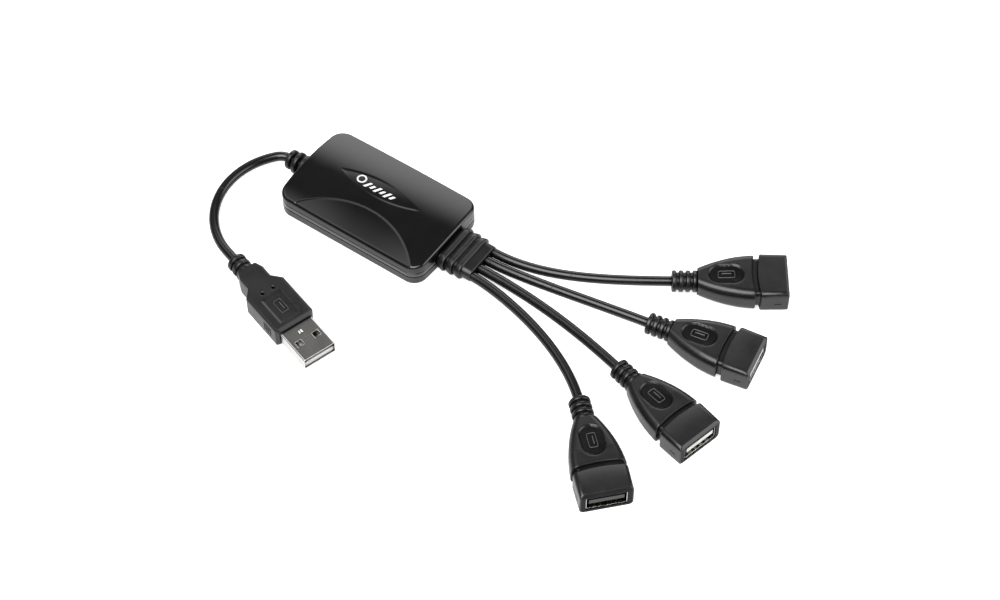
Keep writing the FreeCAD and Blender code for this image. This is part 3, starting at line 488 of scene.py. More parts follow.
# the lens-shaped facet on the -Y side, bounded by an arc, a little below the crown
LENS_X = 2.0
LENS_RADIUS = 31.0
LENS_REACH = 5.9
LENS_DROP = 0.4
LENS_STEP = 0.1
LENS_STEP_WIDTH = 0.35
# the eye-shaped dimple round the print; it is deepest along its +Y edge at -X and its -Y edge
# at +X, and changes over within EYE_TWIST of its centre
EYE_CENTRE = (-1.0, 2.6)
EYE_HALF_LENGTH = 16.5
EYE_HALF_WIDTH = 3.8
EYE_DEPTH = 0.07
EYE_STEP = 0.7
EYE_TWIST = 8.0


def lens_depth(x, y):
    """How far the lens-shaped facet lies below the crown."""
    inside = LENS_RADIUS - math.hypot(x - LENS_X, y + LENS_REACH + LENS_RADIUS)
    if inside <= 0:
        return 0.0
    share = min(1.0, inside / (HALF_WIDTH - LENS_REACH))
    step = LENS_STEP * smooth_step(inside / LENS_STEP_WIDTH)
    return LENS_DROP * (1 - (1 - share) ** 2) + step


def eye_depth(x, y):
    """How deep the eye-shaped dimple is, which lies where two circles overlap."""
    x, y = x - EYE_CENTRE[0], y - EYE_CENTRE[1]
    radius = (EYE_HALF_LENGTH ** 2 + EYE_HALF_WIDTH ** 2) / (2 * EYE_HALF_WIDTH)
    offset = radius - EYE_HALF_WIDTH
    inside_low = radius - math.hypot(x, y + offset)
    inside_high = radius - math.hypot(x, y - offset)
    if min(inside_low, inside_high) <= 0:
        return 0.0
    downward = inside_low / (inside_low + inside_high)
    rightward = smooth_step((x + EYE_TWIST) / (2 * EYE_TWIST))
    share = (1 - rightward) * (1 - downward) + rightward * downward
    return EYE_DEPTH * share * smooth_step(min(inside_low, inside_high) / EYE_STEP)


def top_height(x, y):
    """The height of the case's top, before its outer edge is rounded."""
    radius = (HALF_WIDTH ** 2 + CROWN_ACROSS ** 2) / (2 * CROWN_ACROSS)
    crown = TOP - radius + math.sqrt(radius ** 2 - y ** 2) - CROWN_ALONG * (x / HALF_LENGTH) ** 2
    return crown - lens_depth(x, y) - eye_depth(x, y)


def case_outline(spacing):
    """Points and outward directions round the case: bowed ends, round corners, straight sides."""
    bow_radius = (HALF_WIDTH ** 2 + END_BOW ** 2) / (2 * END_BOW)
    bow_x = HALF_LENGTH - bow_radius
    corner_y = HALF_WIDTH - CORNER
    corner_x = bow_x + math.sqrt((bow_radius - CORNER) ** 2 - corner_y ** 2)
    lean = math.atan2(corner_y, corner_x - bow_x)
    quarter = [(bow_x, 0, bow_radius, 0, lean), (corner_x, corner_y, CORNER, lean, math.pi / 2)]
    found = []
    for x, y, radius, start, end in quarter:
        steps = max(2, round(radius * (end - start) / spacing))
        for step in range(steps):
            angle = start + (end - start) * step / steps
            way = (math.cos(angle), math.sin(angle))
            found.append((x + radius * way[0], y + radius * way[1], way))
    steps = round(corner_x / spacing)
    for step in range(steps + 1):
        found.append((corner_x * (1 - step / steps), HALF_WIDTH, (0, 1)))
    mirrored = [(-x, y, (-way[0], way[1])) for x, y, way in reversed(found[:-1])]
    upper = found + mirrored
    lower = [(x, -y, (way[0], -way[1])) for x, y, way in reversed(upper[1:-1])]
    return upper + lower


def lifted(points, height):
    """Points of a plan at a height, or at a height worked out from x and y."""
    return [(x, y, height(x, y) if callable(height) else height) for x, y in points]


def inset_plan(outline, inset):
    return [(x - way[0] * inset, y - way[1] * inset) for x, y, way in outline]


def below_top(plan, drop):
    return lifted(plan, lambda x, y: top_height(x, y) - drop)


def shrinking_rings(plan, height, count):
    """Rings from a plan down to a line along the case's middle."""
    spine = HALF_LENGTH - HALF_WIDTH
    rings = []
    for step in range(1, count + 1):
        left = 1 - step / count
        ring = []
        for x, y in plan:
            near = min(spine, max(-spine, x))
            ring.append((near + (x - near) * left, y * left))
        rings.append(lifted(ring, height))
    return rings


def case_top():
    """The glossy top shell: crowned top, round edge, side wall with a fine seam, hollow inside."""
    outline = case_outline(spacing=0.4)
    rings = shrinking_rings(inset_plan(outline, EDGE_ROUND), top_height, 56)[::-1]
    for drop, inset in round_edge(EDGE_ROUND, 6):
        rings.append(below_top(inset_plan(outline, inset), drop))
    half = SEAM_WIDTH / 2
    soft = 0.15
    side = [(0, SEAM_HEIGHT + half), (SEAM_DEPTH, SEAM_HEIGHT), (0, SEAM_HEIGHT - half),
            (0, PARTING + soft), (soft / 2, PARTING), (WALL, PARTING), (WALL, ROOF)]
    rings += [lifted(inset_plan(outline, inset), height) for inset, height in side]
    rings += shrinking_rings(inset_plan(outline, WALL), ROOF, 6)
    piece = new_piece("case_top", skin_through(rings, capped=False), "gloss", sharp_angle=35)
    cut_away(piece, neck_cutter("fan_relief", 1))
    cut_away(piece, neck_cutter("lead_relief", -1))
    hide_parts("top_cover")
    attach(piece, "case")


def neck_cutter(node, side):
    """A bar as thick as a strain relief's neck, which opens the case's end wall for it."""
    clearance = 0.05
    wall = side * (HALF_LENGTH - WALL / 2)
    points = [vertex.co / MM for vertex in frame["nodes"][node].data.vertices]
    near = [point for point in points if abs(point.x - wall) < WALL]
    half_width = max(point.y for point in near) + clearance
    low_z, high_z = min(point.z for point in near), max(point.z for point in near)
    size = (half_width, (high_z - low_z) / 2 + clearance)
    rings = [section_ring(*flat_section(side * x, size), (12, 1, 12, 8)) for x in NECK_CUT]
    place = Matrix.Translation((0, 0, (low_z + high_z) / 2))
    return new_piece(node + "_cutter", skin_through(rings), "gloss", place)


def printed_ring(x, y, outer, inner):
    turns = [2 * math.pi * step / 32 for step in range(32)]
    rings = []
    for radius, drop in ((outer, PRINT_ROOT), (outer, -PRINT_RISE), (inner, -PRINT_RISE),
                         (inner, PRINT_ROOT)):
        plan = [(x + radius * math.cos(turn), y + radius * math.sin(turn)) for turn in turns]
        rings.append(below_top(plan, drop))
    return skin_through(rings, looped=True)


def printed_bar(x, y, half_width, half_height, lean):
    plan = [(x - half_width - lean, y - half_height), (x + half_width - lean, y - half_height),
            (x + half_width + lean, y + half_height), (x - half_width + lean, y + half_height)]
    return skin_through([below_top(plan, drop) for drop in (PRINT_ROOT, -PRINT_RISE)])


def top_print():
    """A generic white print in the eye: a ring, and a row of slanted bars, long and short."""
    half_width, slant, pitch = 0.5, 0.6, 2.0
    skins = [printed_ring(-8.6, 2.9, outer=1.75, inner=1.2)]
    for number in range(6):
        half_height = 1.25 if number % 2 == 0 else 0.8
        skins.append(printed_bar(-5.4 + pitch * number, 1.9, half_width, half_height,
                                 slant * half_height))
    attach(new_piece("top_print", joined(skins), "ink"), "case")


case_top()
top_print()


# ---- sockets and plug

# how many points lie along a section's top, side, bottom and corners
SOCKET_COUNTS = (34, 5, 8, 6)
PLUG_COUNTS = (48, 5, 8, 4)
CABLE_BORE = 1.68
RIB_SOFT = 0.45


def rib_sections(tail, radii, width, gap, groove_radius):
    """Round rings with soft edges behind a connector, from its tail forwards."""
    edge = round_edge(RIB_SOFT, 4)
    places = []
    for number, radius in enumerate(radii):
        start = tail + number * (width + gap)
        end = start + width
        places += [(start + along, radius - less) for along, less in edge]
        places += [(end - along, radius - less) for along, less in reversed(edge)]
        places += [(end, groove_radius), (end + gap, groove_radius)]
    return [round_section(x, radius) for x, radius in places[:-2]]


def connector_skin(name, node, body, place, sections, counts, reshape=None, looped=False):
    """A closed skin through sections along a connector; reshape can move each point of it."""
    rings = [section_ring(*section, counts) for section in sections]
    if reshape:
        rings = [[reshape(point) for point in ring] for ring in rings]
    piece = new_piece(name, skin_through(rings, looped), "moulding", place)
    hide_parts(node)
    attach(piece, body)
    return piece


# a socket in its own frame: its mouth at X = 0, facing +X, its middle height at Z = 0
SOCKET_RIBS_END = -29.2
GROOVE_BACK = -10.75
GROOVE_FRONT = -9.0
GROOVE_BOW = 0.9
GROOVE_DEPTH = 1.1
GROOVE_LIP = 0.25
BODY_START_WIDTH = 3.9
BODY_MIDDLE = (-20.5, 7.3)
BODY_ROUND = 2.6
BELLY_FLAT = -17.0
BELLY_DROP = 0.6
CAP_HALF_WIDTH = 8.7
CAP_ROUND = 1.4
# the cap's groove is bowed; from here on it is straight and tapers to its front
CAP_STRAIGHT = (-3.0, CAP_HALF_WIDTH - 0.13)
FRONT_HALF_WIDTH = CAP_HALF_WIDTH - 0.2
FRONT_ROUND = 0.35
FRONT_BEVEL = 0.9
OVAL_CENTRE = -20.0
OVAL_HALF_LENGTH = 6.0
OVAL_HALF_WIDTH = 4.0
OVAL_DEPTH = 0.6
OVAL_RIM = 0.6
OVAL_FLOOR_RISE = 0.12
# the hollow: the mouth, then a narrower space for the inner mould, then the cable's bore; the
# first two are given by their half width, half height and corner radius
MOUTH_END = -14.25
MOUTH_HOLLOW = (6.62, 2.92, 0.1)
MOULD_END = -23.05
MOULD_HOLLOW = (5.05, 2.25, 0.1)
BORE_END = -23.3


def belly_height(x, half_height):
    """Half the height of a socket's moulding, which slopes down towards the cable."""
    return half_height - BELLY_DROP * max(0.0, BELLY_FLAT - x) / (BELLY_FLAT - SOCKET_RIBS_END)


def body_sections(half_width, half_height):
    """The body, which flares from the ribs to the lip of the groove."""
    width_at = arc_through((SOCKET_RIBS_END, BODY_START_WIDTH), BODY_MIDDLE,
                           (GROOVE_BACK, half_width))
    lip_start = GROOVE_BACK - GROOVE_LIP
    steps = 62
    sections = []
    for step in range(steps + 1):
        x = SOCKET_RIBS_END + (lip_start - SOCKET_RIBS_END) * step / steps
        bow = GROOVE_BOW * smooth_step((x - BELLY_FLAT) / (lip_start - BELLY_FLAT))
        sections.append((x, width_at(x), belly_height(x, half_height), BODY_ROUND, bow))
    for along, less in round_edge(GROOVE_LIP, 3)[-2::-1]:
        sections.append((GROOVE_BACK - along, half_width - less, half_height - less,
                         BODY_ROUND, GROOVE_BOW))
    return sections


def cap_sections(half_height):
    """The groove and the cap, up to the rounded edge of its front."""
    sections = [(x, CAP_HALF_WIDTH - GROOVE_DEPTH, half_height - GROOVE_DEPTH, CAP_ROUND,
                 GROOVE_BOW) for x in (GROOVE_BACK, GROOVE_FRONT)]
    for along, less in round_edge(GROOVE_LIP, 3):
        sections.append((GROOVE_FRONT + along, CAP_HALF_WIDTH - less, half_height - less,
                         CAP_ROUND, GROOVE_BOW))
    for x, half_width in (CAP_STRAIGHT, (-FRONT_BEVEL, FRONT_HALF_WIDTH)):
        sections.append((x, half_width, half_height, CAP_ROUND, 0))
    for along, less in round_edge(FRONT_ROUND, 5)[::-1]:
        sections.append((-along, FRONT_HALF_WIDTH - less, half_height - less, CAP_ROUND, 0))
    return sections


def socket_sections(low, high):
    """Sections of a socket from the cable's bore, over the outside, to the end of its hollow."""
    sections = [round_section(BORE_END, CABLE_BORE), round_section(low.x, CABLE_BORE)]
    sections += rib_sections(low.x, radii=[3.6] * 4, width=1.45, gap=0.8, groove_radius=2.9)
    sections += body_sections(high.y, high.z)
    sections += cap_sections(high.z)
    sections += [(x, *MOUTH_HOLLOW, 0) for x in (0, MOUTH_END)]
    sections += [(x, *MOULD_HOLLOW, 0) for x in (MOUTH_END, MOULD_END)]
    return sections


def oval_sink(x, y):
    """How deep a place lies in the marked oval, whose floor is flat inside a soft rim."""
    half_run = OVAL_HALF_LENGTH - OVAL_HALF_WIDTH
    along = max(0.0, abs(x - OVAL_CENTRE) - half_run)
    inside = OVAL_HALF_WIDTH - math.hypot(along, y)
    return OVAL_DEPTH * smooth_step(inside / OVAL_RIM)


def oval_floor(name, half_height, place, body):
    """The polished plate on the marked oval's floor; gives the height of its top over x."""
    def top_at(x):
        return belly_height(x, half_height) - OVAL_DEPTH + OVAL_FLOOR_RISE

    size = (OVAL_HALF_LENGTH - OVAL_RIM, OVAL_HALF_WIDTH - OVAL_RIM)
    outline = section_ring(*flat_section(0, size), (4, 1, 4, 12))
    plan = [(OVAL_CENTRE + point.y, point.z) for point in outline]
    rings = [lifted(plan, lambda x, y: top_at(x) - drop) for drop in (2 * OVAL_FLOOR_RISE, 0)]
    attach(new_piece(name, skin_through(rings), "polished_moulding", place), body)
    return top_at


def mouth_shade_frame(name, high, place, body):
    """A dark, dull face round a socket's mouth, let into its front: painted shade, standing in for the front lying
    in shade.
    """
    inset = 0.1
    root, rise = -0.2, 0.04
    half_width = FRONT_HALF_WIDTH - FRONT_ROUND - inset
    half_height = high.z - FRONT_ROUND - inset
    top = high.z - FRONT_BEVEL - inset
    rings = []
    for x in (root, rise):
        ring = section_ring(x, half_width, half_height, CAP_ROUND, 0, SOCKET_COUNTS)
        rings.append([Vector((point.x, point.y, min(point.z, top))) for point in ring])
    rings += [section_ring(x, *MOUTH_HOLLOW, 0, SOCKET_COUNTS) for x in (rise, root)]
    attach(new_piece(name, skin_through(rings, looped=True), "mouth_shade_face", place), body)


def socket_reshaper(half_height):
    """Gives the function that sinks the oval and bevels the top edge of the front."""
    def reshape(point):
        x, y, z = point
        if z > 0:
            z -= oval_sink(x, y)
        if x > -FRONT_BEVEL:
            z = min(z, half_height - FRONT_BEVEL - x)
        return Vector((x, y, z))
    return reshape


def raised_line(name, path, width, height, place, body, finish="moulding", closed=False):
    """A low rounded ridge along a path of points, each given with the surface's height."""
    root, shoulder = -0.08, 0.7
    half = width / 2
    profile = ((-half, root), (-half * shoulder, height * shoulder), (0, height),
               (half * shoulder, height * shoulder), (half, root))
    rings = []
    for number, point in enumerate(path):
        before = path[number - 1] if closed or number else point
        after = path[(number + 1) % len(path)] if closed or number < len(path) - 1 else point
        side = UP.cross((after - before).normalized())
        rings.append([point + side * across + UP * up for across, up in profile])
    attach(new_piece(name, skin_through(rings, looped=closed), finish, place), body)


def port_sign(name, centre, floor_at, place, body):
    """A small raised outline of a port: a rounded oblong with a bar in it."""
    half_length, half_width, radius, height = 2.7, 1.35, 0.6, 0.22
    half_bar, bar_y = 1.6, 0.35
    ring = section_ring(0, half_length, half_width, radius, 0, (6, 3, 6, 4))
    path = [Vector((centre + point.y, point.z, floor_at(centre + point.y))) for point in ring]
    raised_line(name + "_outline", path, 0.36, height, place, body, "raised_mark", closed=True)
    bar = [Vector((x, bar_y, floor_at(x))) for x in (centre - half_bar, centre + half_bar)]
    raised_line(name + "_bar", bar, 0.5, height, place, body, "raised_mark")


def side_slot(place, y):
    """The cutter for the short slot in a cap's side wall."""
    centre_x, centre_z = -3.4, -0.5
    size, depth = (1.2, 0.2), 0.45
    ring = section_ring(*flat_section(0, size), (2, 2, 2, 3))
    rings = [[Vector((centre_x + point.y, across, centre_z + point.z)) for point in ring]
             for across in (y - depth, y + depth)]
    return new_piece("slot_cutter", skin_through(rings), "moulding", place)


def all_sockets():
    for port in PORTS:
        place = place_at_mount("socket_%d_mouth" % port)
        node = "socket_%d_overmould" % port
        low, high = local_box(node, place)
        body = "socket_%d" % port
        skin = connector_skin(body + "_skin", node, body, place, socket_sections(low, high),
                              SOCKET_COUNTS, socket_reshaper(high.z))
        for side in (-1, 1):
            cut_away(skin, side_slot(place, side * high.y))
        mouth_shade_frame(body + "_mouth_shade_frame", high, place, body)
        floor_at = oval_floor(body + "_oval_floor", high.z, place, body)
        port_sign(body + "_sign", OVAL_CENTRE, floor_at, place, body)


all_sockets()


SIDES = ((-1, "right"), (1, "left"))
# the plug in its own frame: the metal shell's tip at X = 0, facing +X
PLUG_RIBS_END = -41.0
# half widths over X, from the ribs to where the plug is at its widest
PLUG_SHOULDERS = ((PLUG_RIBS_END, 3.5), (-38.4, 4.5), (-33.8, 4.5))
PLUG_WIDE = -30.5
PLUG_EDGE = 0.7
PLUG_BEVEL = 1.0
PLUG_BORE_END = -29.8
PLUG_HOLLOW_END = -29.55
# half width, half height and corner radius of the hollow for the shell
PLUG_HOLLOW = (6.06, 2.31, 0.55)
PANEL_BACK = -26.8
PANEL_FRONT = -15.6
PANEL_HALF_WIDTH = 4.0
PANEL_DEPTH = 0.2
PANEL_RIM = 0.3
PLUG_SIGN_X = -21.4
DIMPLES = ((-29.0, -2.05), (-29.0, 2.05))
DIMPLE_RADIUS = 0.75
DIMPLE_DEPTH = 1.2
GRIP_FRONT = -17.2
GRIP_PITCH = 1.1
GRIP_LENGTH = 3.4


def plug_sections(low, high):
    """Sections of the plug's moulding from the cable's bore to the end of its hollow."""
    half_width, half_height = high.y, high.z
    sections = [round_section(PLUG_BORE_END, CABLE_BORE), round_section(low.x, CABLE_BORE)]
    sections += rib_sections(low.x, radii=[3.4] * 3, width=1.75, gap=0.85, groove_radius=2.7)
    front = high.x - PLUG_BEVEL
    corners = (*PLUG_SHOULDERS, (PLUG_WIDE, half_width), (front, half_width))
    spacing = 0.28
    for (start, start_width), (end, end_width) in zip(corners, corners[1:]):
        steps = round((end - start) / spacing)
        for step in range(steps):
            share = step / steps
            sections.append((start + (end - start) * share,
                             start_width + (end_width - start_width) * share,
                             half_height, PLUG_EDGE, 0))
    sections.append((front, half_width, half_height, PLUG_EDGE, 0))
    sections.append((high.x, half_width - PLUG_BEVEL, half_height - PLUG_BEVEL, PLUG_EDGE, 0))
    sections += [(x, *PLUG_HOLLOW, 0) for x in (high.x, PLUG_HOLLOW_END)]
    return sections


def plug_reshaper(half_height):
    """Gives the function that sinks the panel and the dimples into the plug's flat top."""
    def reshape(point):
        x, y, z = point
        if z > half_height - PLUG_EDGE / 2:
            within = min(x - PANEL_BACK, PANEL_FRONT - x, PANEL_HALF_WIDTH - abs(y))
            z -= PANEL_DEPTH * smooth_step(within / PANEL_RIM)
            for dimple_x, dimple_y in DIMPLES:
                distance = math.hypot(x - dimple_x, y - dimple_y)
                z -= DIMPLE_DEPTH * smooth_step(1 - distance / DIMPLE_RADIUS)
        return Vector((x, y, z))
    return reshape


def plug_grips(place, half_width):
    """Four short upright ridges on each side of the plug."""
    path = [Vector((0, -GRIP_LENGTH / 2, 0)), Vector((0, GRIP_LENGTH / 2, 0))]
    for side, name in SIDES:
        upright = Matrix.Rotation(-side * math.pi / 2, 4, "X")
        for number in range(4):
            spot = Matrix.Translation((GRIP_FRONT - GRIP_PITCH * number, side * half_width, 0))
            raised_line("plug_grip_%d_%s" % (number + 1, name), path, 0.45, 0.2,
                        place @ spot @ upright, "plug")


def plug_moulding():
    """The plug's moulding with its sign, its grips and a raised edge along its panel."""
    place = place_at_mount("plug_mating_face")
    low, high = local_box("plug_overmould", place)
    connector_skin("plug_skin", "plug_overmould", "plug", place, plug_sections(low, high),
                   PLUG_COUNTS, plug_reshaper(high.z))
    port_sign("plug_sign", PLUG_SIGN_X, lambda x: high.z - PANEL_DEPTH, place, "plug")
    edge = [Vector((x, PANEL_HALF_WIDTH, high.z))
            for x in (PANEL_BACK + PANEL_RIM, PANEL_FRONT - PANEL_RIM)]
    raised_line("plug_panel_edge", edge, 0.3, 0.12, place, "plug")
    plug_grips(place, high.y)


# the windows in the shell's top, as in CAD, and the tab that its fold leaves behind them
WINDOW_X = -6.5
WINDOW_SIDE = 3.2
WINDOW_LENGTH = 2.0
WINDOW_WIDTH = 2.2
TAB_BACK = -10.7
TAB_FRONT = -9.5
TAB_Y = -0.3
TAB_WIDTH = 1.8


def shell_details():
    """A raised rim round each window of the plug's shell, and the fold's tab."""
    place = place_at_mount("plug_mating_face")
    top = local_box("plug_shell", place)[1].z
    rim = 0.3
    half_length, half_width = (WINDOW_LENGTH + rim) / 2, (WINDOW_WIDTH + rim) / 2
    ring = section_ring(0, half_length, half_width, 0.2, 0, (2, 2, 2, 2))
    for side, name in SIDES:
        path = [Vector((WINDOW_X + point.y, side * WINDOW_SIDE + point.z, top)) for point in ring]
        raised_line("shell_rim_" + name, path, rim, 0.08, place, "plug", "shell_metal",
                    closed=True)
    tab = [Vector((x, TAB_Y, top)) for x in (TAB_BACK, TAB_FRONT)]
    raised_line("shell_tab", tab, TAB_WIDTH, 0.22, place, "plug", "shell_metal")


plug_moulding()
shell_details()


# ---- strain reliefs on the case

# the fan relief along X; its sizes are half widths and half heights
FAN_NECK_START = 26.8
FAN_START = 29.6
FAN_COLLAR_START = 39.6
FAN_FLANGE = (9.2, 2.4)
FAN_NECK = (7.7, 2.1)
FAN_CORE = (7.9, 2.7)
FAN_COLLAR = (7.8, 2.5)
RIDGE_START = FAN_START + 0.8
RIDGE_PITCH = 3.15
RIDGE_LENGTH = 2.3
RIDGE_TAPER = 0.15
LEAD_NECK_START = -26.8
LEAD_NECK = 2.0
LEAD_FLANGE = 2.45


def ridge_sections(start, size):
    """One ridge of the fan relief: it rises towards the front and has soft edges."""
    edge = round_edge(0.5, 4)
    rise = 0.3
    places = [(start + along, less + rise) for along, less in edge]
    places += [(start + RIDGE_LENGTH - along, less) for along, less in reversed(edge)]
    return [flat_section(x, size, less) for x, less in places]


def fan_sections(low_x, high_x, ridge_size):
    """Sections of the fan relief: flange, neck, core with three ridges, and collar."""
    sections = [flat_section(x, size) for x, size in (
        (low_x, FAN_FLANGE), (FAN_NECK_START, FAN_FLANGE), (FAN_NECK_START, FAN_NECK),
        (FAN_START, FAN_NECK), (FAN_START, FAN_CORE))]
    for ridge in range(3):
        start = RIDGE_START + RIDGE_PITCH * ridge
        size = [half - RIDGE_TAPER * ridge for half in ridge_size]
        sections.append(flat_section(start, FAN_CORE))
        sections += ridge_sections(start, size)
        sections.append(flat_section(start + RIDGE_LENGTH, FAN_CORE))
    sections.append(flat_section(FAN_COLLAR_START, FAN_COLLAR))
    for along, less in round_edge(0.4, 4)[::-1]:
        sections.append(flat_section(high_x - along, FAN_COLLAR, less))
    return sections


def bore_cutter(port, low_x, high_x, height):
    """A round bar on the line where a port's cable leaves the fan relief."""
    rings = [section_ring(*round_section(x, CABLE_BORE), (1, 1, 1, 8))
             for x in (low_x - 1, high_x + 1)]
    place = Matrix.Translation((0, port_y(port), height))
    return new_piece("bore_cutter", skin_through(rings), "moulding", place)


def fan_relief():
    """The flat relief that the four port cables leave through."""
    low, high = box_mm("fan_relief")
    middle = (low.z + high.z) / 2
    sections = fan_sections(low.x, high.x, (high.y, high.z - middle))
    piece = connector_skin("fan_relief_skin", "fan_relief", "case",
                           Matrix.Translation((0, 0, middle)), sections, (24, 2, 12, 10))
    for port in PORTS:
        cut_away(piece, bore_cutter(port, low.x, high.x, middle))


def lead_relief():
    """The ringed relief that the lead leaves through."""
    low, high = box_mm("lead_relief")
    sections = rib_sections(low.x, radii=(3.5, 3.9, 3.9), width=1.6, gap=1.15, groove_radius=2.1)
    rest = ((sections[-1][0], LEAD_NECK), (LEAD_NECK_START, LEAD_NECK),
            (LEAD_NECK_START, LEAD_FLANGE), (high.x, LEAD_FLANGE), (high.x, CABLE_BORE),
            (low.x, CABLE_BORE))
    sections += [round_section(x, radius) for x, radius in rest]
    place = Matrix.Translation((0, 0, (low.z + high.z) / 2))
    connector_skin("lead_relief_skin", "lead_relief", "case", place, sections, (1, 1, 1, 12),
                   looped=True)


fan_relief()
lead_relief()


# ---- cables

CABLE_RADIUS = 1.65
# the handles of each port cable's curve: at the fan relief and at its socket
FIRST_REACH = {1: 18.0, 2: 12.0, 3: 20.0, 4: 9.0}
TAIL_REACH = 24.0
HIDDEN_IN_SOCKET = 14.0
# the lead turns tightly where it leaves its relief, then widely until it points along the plug
TIGHT_RADIUS = 6.0
TIGHT_ANGLE = 50.0
WIDE_RADIUS = 25.8
HIDDEN_IN_PLUG = 18.0
COURSE_STEP = 0.5
# a length along each end of a cable; the points that it reaches are found, but nothing uses them
BEND_ZONE = 16.0


def tail_and_facing(mount, node):
    """Where a cable enters a connector, and the direction that the connector faces."""
    place = place_at_mount(mount)
    tail = place @ Vector((local_box(node, place)[0].x, 0, 0))
    return tail, place.to_3x3() @ Vector((1, 0, 0))


def port_course(port):
    """Points along a port's cable, the numbers where it leaves the relief and enters its socket."""
    start_x = box_mm("port_cable_%d" % port)[0].x
    height = named(frame["joints"], "socket_%d_turn" % port)["pos_m"][2] / MM
    mouth = Vector((box_mm("fan_relief")[1].x, port_y(port), height))
    tail, facing = tail_and_facing("socket_%d_mouth" % port, "socket_%d_overmould" % port)
    poles = [mouth, mouth + Vector((FIRST_REACH[port], 0, 0)), tail - facing * TAIL_REACH, tail]
    inside = straight_points(Vector((start_x, mouth.y, height)), mouth)
    steps = 120
    bend = []
    for step in range(steps + 1):
        share = step / steps
        rest = 1 - share
        weights = (rest ** 3, 3 * rest ** 2 * share, 3 * rest * share ** 2, share ** 3)
        bend.append(sum((pole * weight for pole, weight in zip(poles, weights)), Vector()))
    hidden = straight_points(tail, tail + facing * HIDDEN_IN_SOCKET)
    points = inside[:-1] + bend + hidden[1:]
    return points, len(inside) - 1, len(inside) - 1 + steps


def straight_points(start, end):
    steps = max(2, round((end - start).length / 2))
    return [start.lerp(end, step / steps) for step in range(steps + 1)]


def left_arc(start, heading, radius, angle):
    """Points on an arc that turns left, without the first, and the heading where it ends."""
    centre = start + radius * Vector((-math.sin(heading), math.cos(heading), 0))
    steps = round(radius * angle / COURSE_STEP)
    points = []
    for step in range(1, steps + 1):
        now = heading + angle * step / steps
        points.append(centre + radius * Vector((math.sin(now), -math.cos(now), 0)))
    return points, heading + angle


def lead_course():
    """Points along the lead, and the numbers where it leaves its relief and enters the plug."""
    start_x = box_mm("lead_cable")[1].x
    height = named(frame["joints"], "plug_lift")["pos_m"][2] / MM
    mouth = Vector((box_mm("lead_relief")[0].x, 0, height))
    tail, facing = tail_and_facing("plug_mating_face", "plug_overmould")
    points = straight_points(Vector((start_x, 0, height)), mouth)
    first = len(points) - 1
    arc, heading = left_arc(mouth, math.pi, TIGHT_RADIUS, math.radians(TIGHT_ANGLE))
    points += arc
    final = math.atan2(facing.y, facing.x) + 2 * math.pi
    points += left_arc(points[-1], heading, WIDE_RADIUS, final - heading)[0]
    points += straight_points(points[-1], tail)[1:]
    last = len(points) - 1
    points += straight_points(tail, tail + facing * HIDDEN_IN_PLUG)[1:]
    return points, first, last


def tube(name, course):
    """A round cable along a course that lies level."""
    around = 28
    rings = []
    for number, point in enumerate(course):
        before = course[max(0, number - 1)]
        after = course[min(len(course) - 1, number + 1)]
        side = UP.cross((after - before).normalized())
        ring = []
        for step in range(around):
            angle = 2 * math.pi * step / around
            ring.append(point + CABLE_RADIUS * (side * math.cos(angle) + UP * math.sin(angle)))
        rings.append(ring)
    return new_piece(name, skin_through(rings), "cable_jacket", sharp_angle=60)


def number_at(course, start, distance):
    """The number of the course's point that lies a distance along from another."""
    step = 1 if distance > 0 else -1
    number, gone = start, 0.0
    while gone < abs(distance):
        gone += (course[number + step] - course[number]).length
        number += step
    return number


def bending_cable(node, path):
    """A cable in two halves, split at the middle of its course, each a tube."""
    course, mouth, tail = path
    middle = (mouth + tail) // 2
    bend_end = number_at(course, mouth, BEND_ZONE)
    bend_start = number_at(course, tail, -BEND_ZONE)
    root = tube(node + "_root", course[:middle + 1])
    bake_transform(root)
    tip = tube(node + "_tip", course[middle:])
    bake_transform(tip)
    for piece in (root, tip):
        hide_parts(node)


def all_cables():
    for port in PORTS:
        bending_cable("port_cable_%d" % port, port_course(port))
    bending_cable("lead_cable", lead_course())


all_cables()


# ---- floor, lights and camera

def make_floor():
    half = 3000.0
    low = CAD_LOW.z / MM - 0.1
    corners = [(-half, -half, low), (half, -half, low), (half, half, low), (-half, half, low)]
    new_piece("floor", (corners, [(0, 1, 2, 3)]), "floor")


def direction(azimuth, elevation):
    """A direction from the object: azimuth 0 is -Y and 90 is +X."""
    around, up = math.radians(azimuth), math.radians(elevation)
    return Vector((math.sin(around) * math.cos(up), -math.cos(around) * math.cos(up),
                   math.sin(up)))


def aim(name, data, azimuth, elevation, distance, target):
    """Adds a lamp or a camera that looks at a target from a direction and a distance."""
    way = direction(azimuth, elevation)
    thing = bpy.data.objects.new(name, data)
    thing.location = target + way * distance
    thing.rotation_mode = "QUATERNION"
    thing.rotation_quaternion = way.to_track_quat("Z", "Y")
    SCENE.collection.objects.link(thing)
    return thing


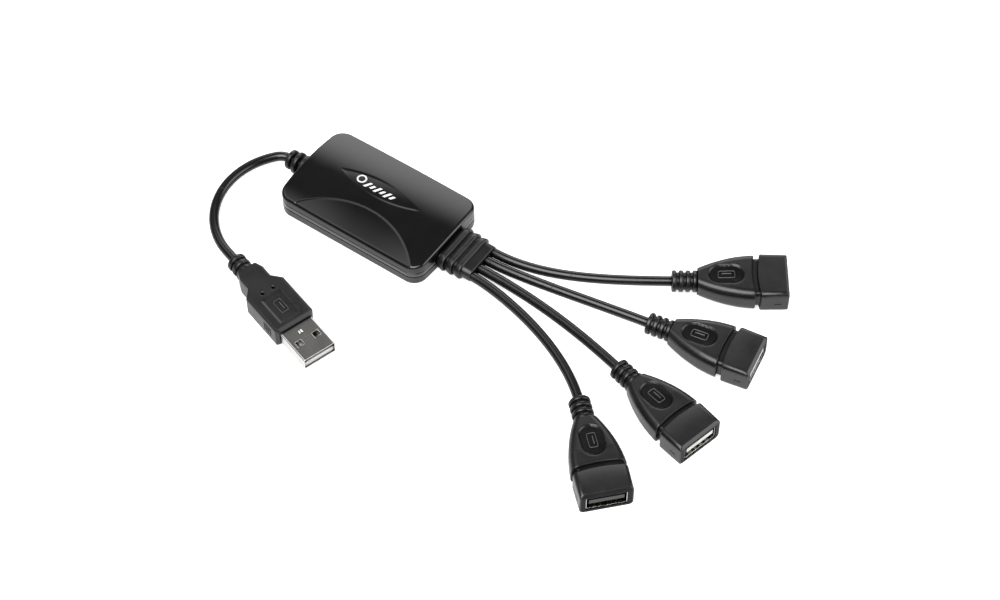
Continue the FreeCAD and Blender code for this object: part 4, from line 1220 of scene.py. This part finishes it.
def make_lamp():
    """A large square softbox, high in front of the hub."""
    light = bpy.data.lights.new("key", "AREA")
    light.size = 1.1
    light.energy = 27
    aim("key", light, azimuth=8, elevation=62, distance=1.4, target=(CAD_LOW + CAD_HIGH) / 2)


# soft round glows in the surround: azimuth, elevation, radius of the even part, radius where
# it has faded out, all in degrees, and brightness
GLOWS = (
    (211, 29, 4, 22, 3.0),
    (274, 58, 11, 20, 1.4),
    (117, 19, 14, 34, 3.5),
)
SURROUND = 0.16
BACKDROP = 1.2


def make_world():
    """A dim surround with a few soft glows; the camera itself sees only white."""
    world = bpy.data.worlds.new("studio")
    SCENE.world = world
    world.use_nodes = True
    tree = world.node_tree
    tree.nodes.clear()
    way = add_node(tree, "TexCoord", {}).outputs["Generated"]
    level = SURROUND
    for azimuth, elevation, even, faded, brightness in GLOWS:
        toward = add_node(tree, "VectorMath", {0: way, 1: direction(azimuth, elevation)},
                          operation="DOT_PRODUCT").outputs["Value"]
        rim, core = math.cos(math.radians(faded)), math.cos(math.radians(even))
        glow = spread(tree, toward, 0.0, brightness, rim, core, interpolation_type="SMOOTHSTEP")
        level = combine(tree, "ADD", level, glow)
    seen = add_node(tree, "LightPath", {}).outputs["Is Camera Ray"]
    strength = add_node(tree, "Mix", {"Factor": seen, "A": level, "B": BACKDROP})
    background = add_node(tree, "Background", {
        "Color": grey(1.0), "Strength": strength.outputs["Result"]})
    add_node(tree, "OutputWorld", {"Surface": background.outputs["Background"]})


# where the photograph was taken from, in degrees and metres
CAMERA_AZIMUTH = 34.91
CAMERA_ELEVATION = 53.05
CAMERA_DISTANCE = 0.7674
CAMERA_TARGET = Vector((0.05362, -0.00607, 0.0))


def make_camera():
    data = bpy.data.cameras.new("camera")
    data.lens = 85.0
    data.sensor_width = 36.0
    SCENE.camera = aim("camera", data, CAMERA_AZIMUTH, CAMERA_ELEVATION,
                                   CAMERA_DISTANCE, CAMERA_TARGET)


make_floor()
make_world()
make_lamp()
make_camera()
SCENE.view_settings.view_transform = "Standard"
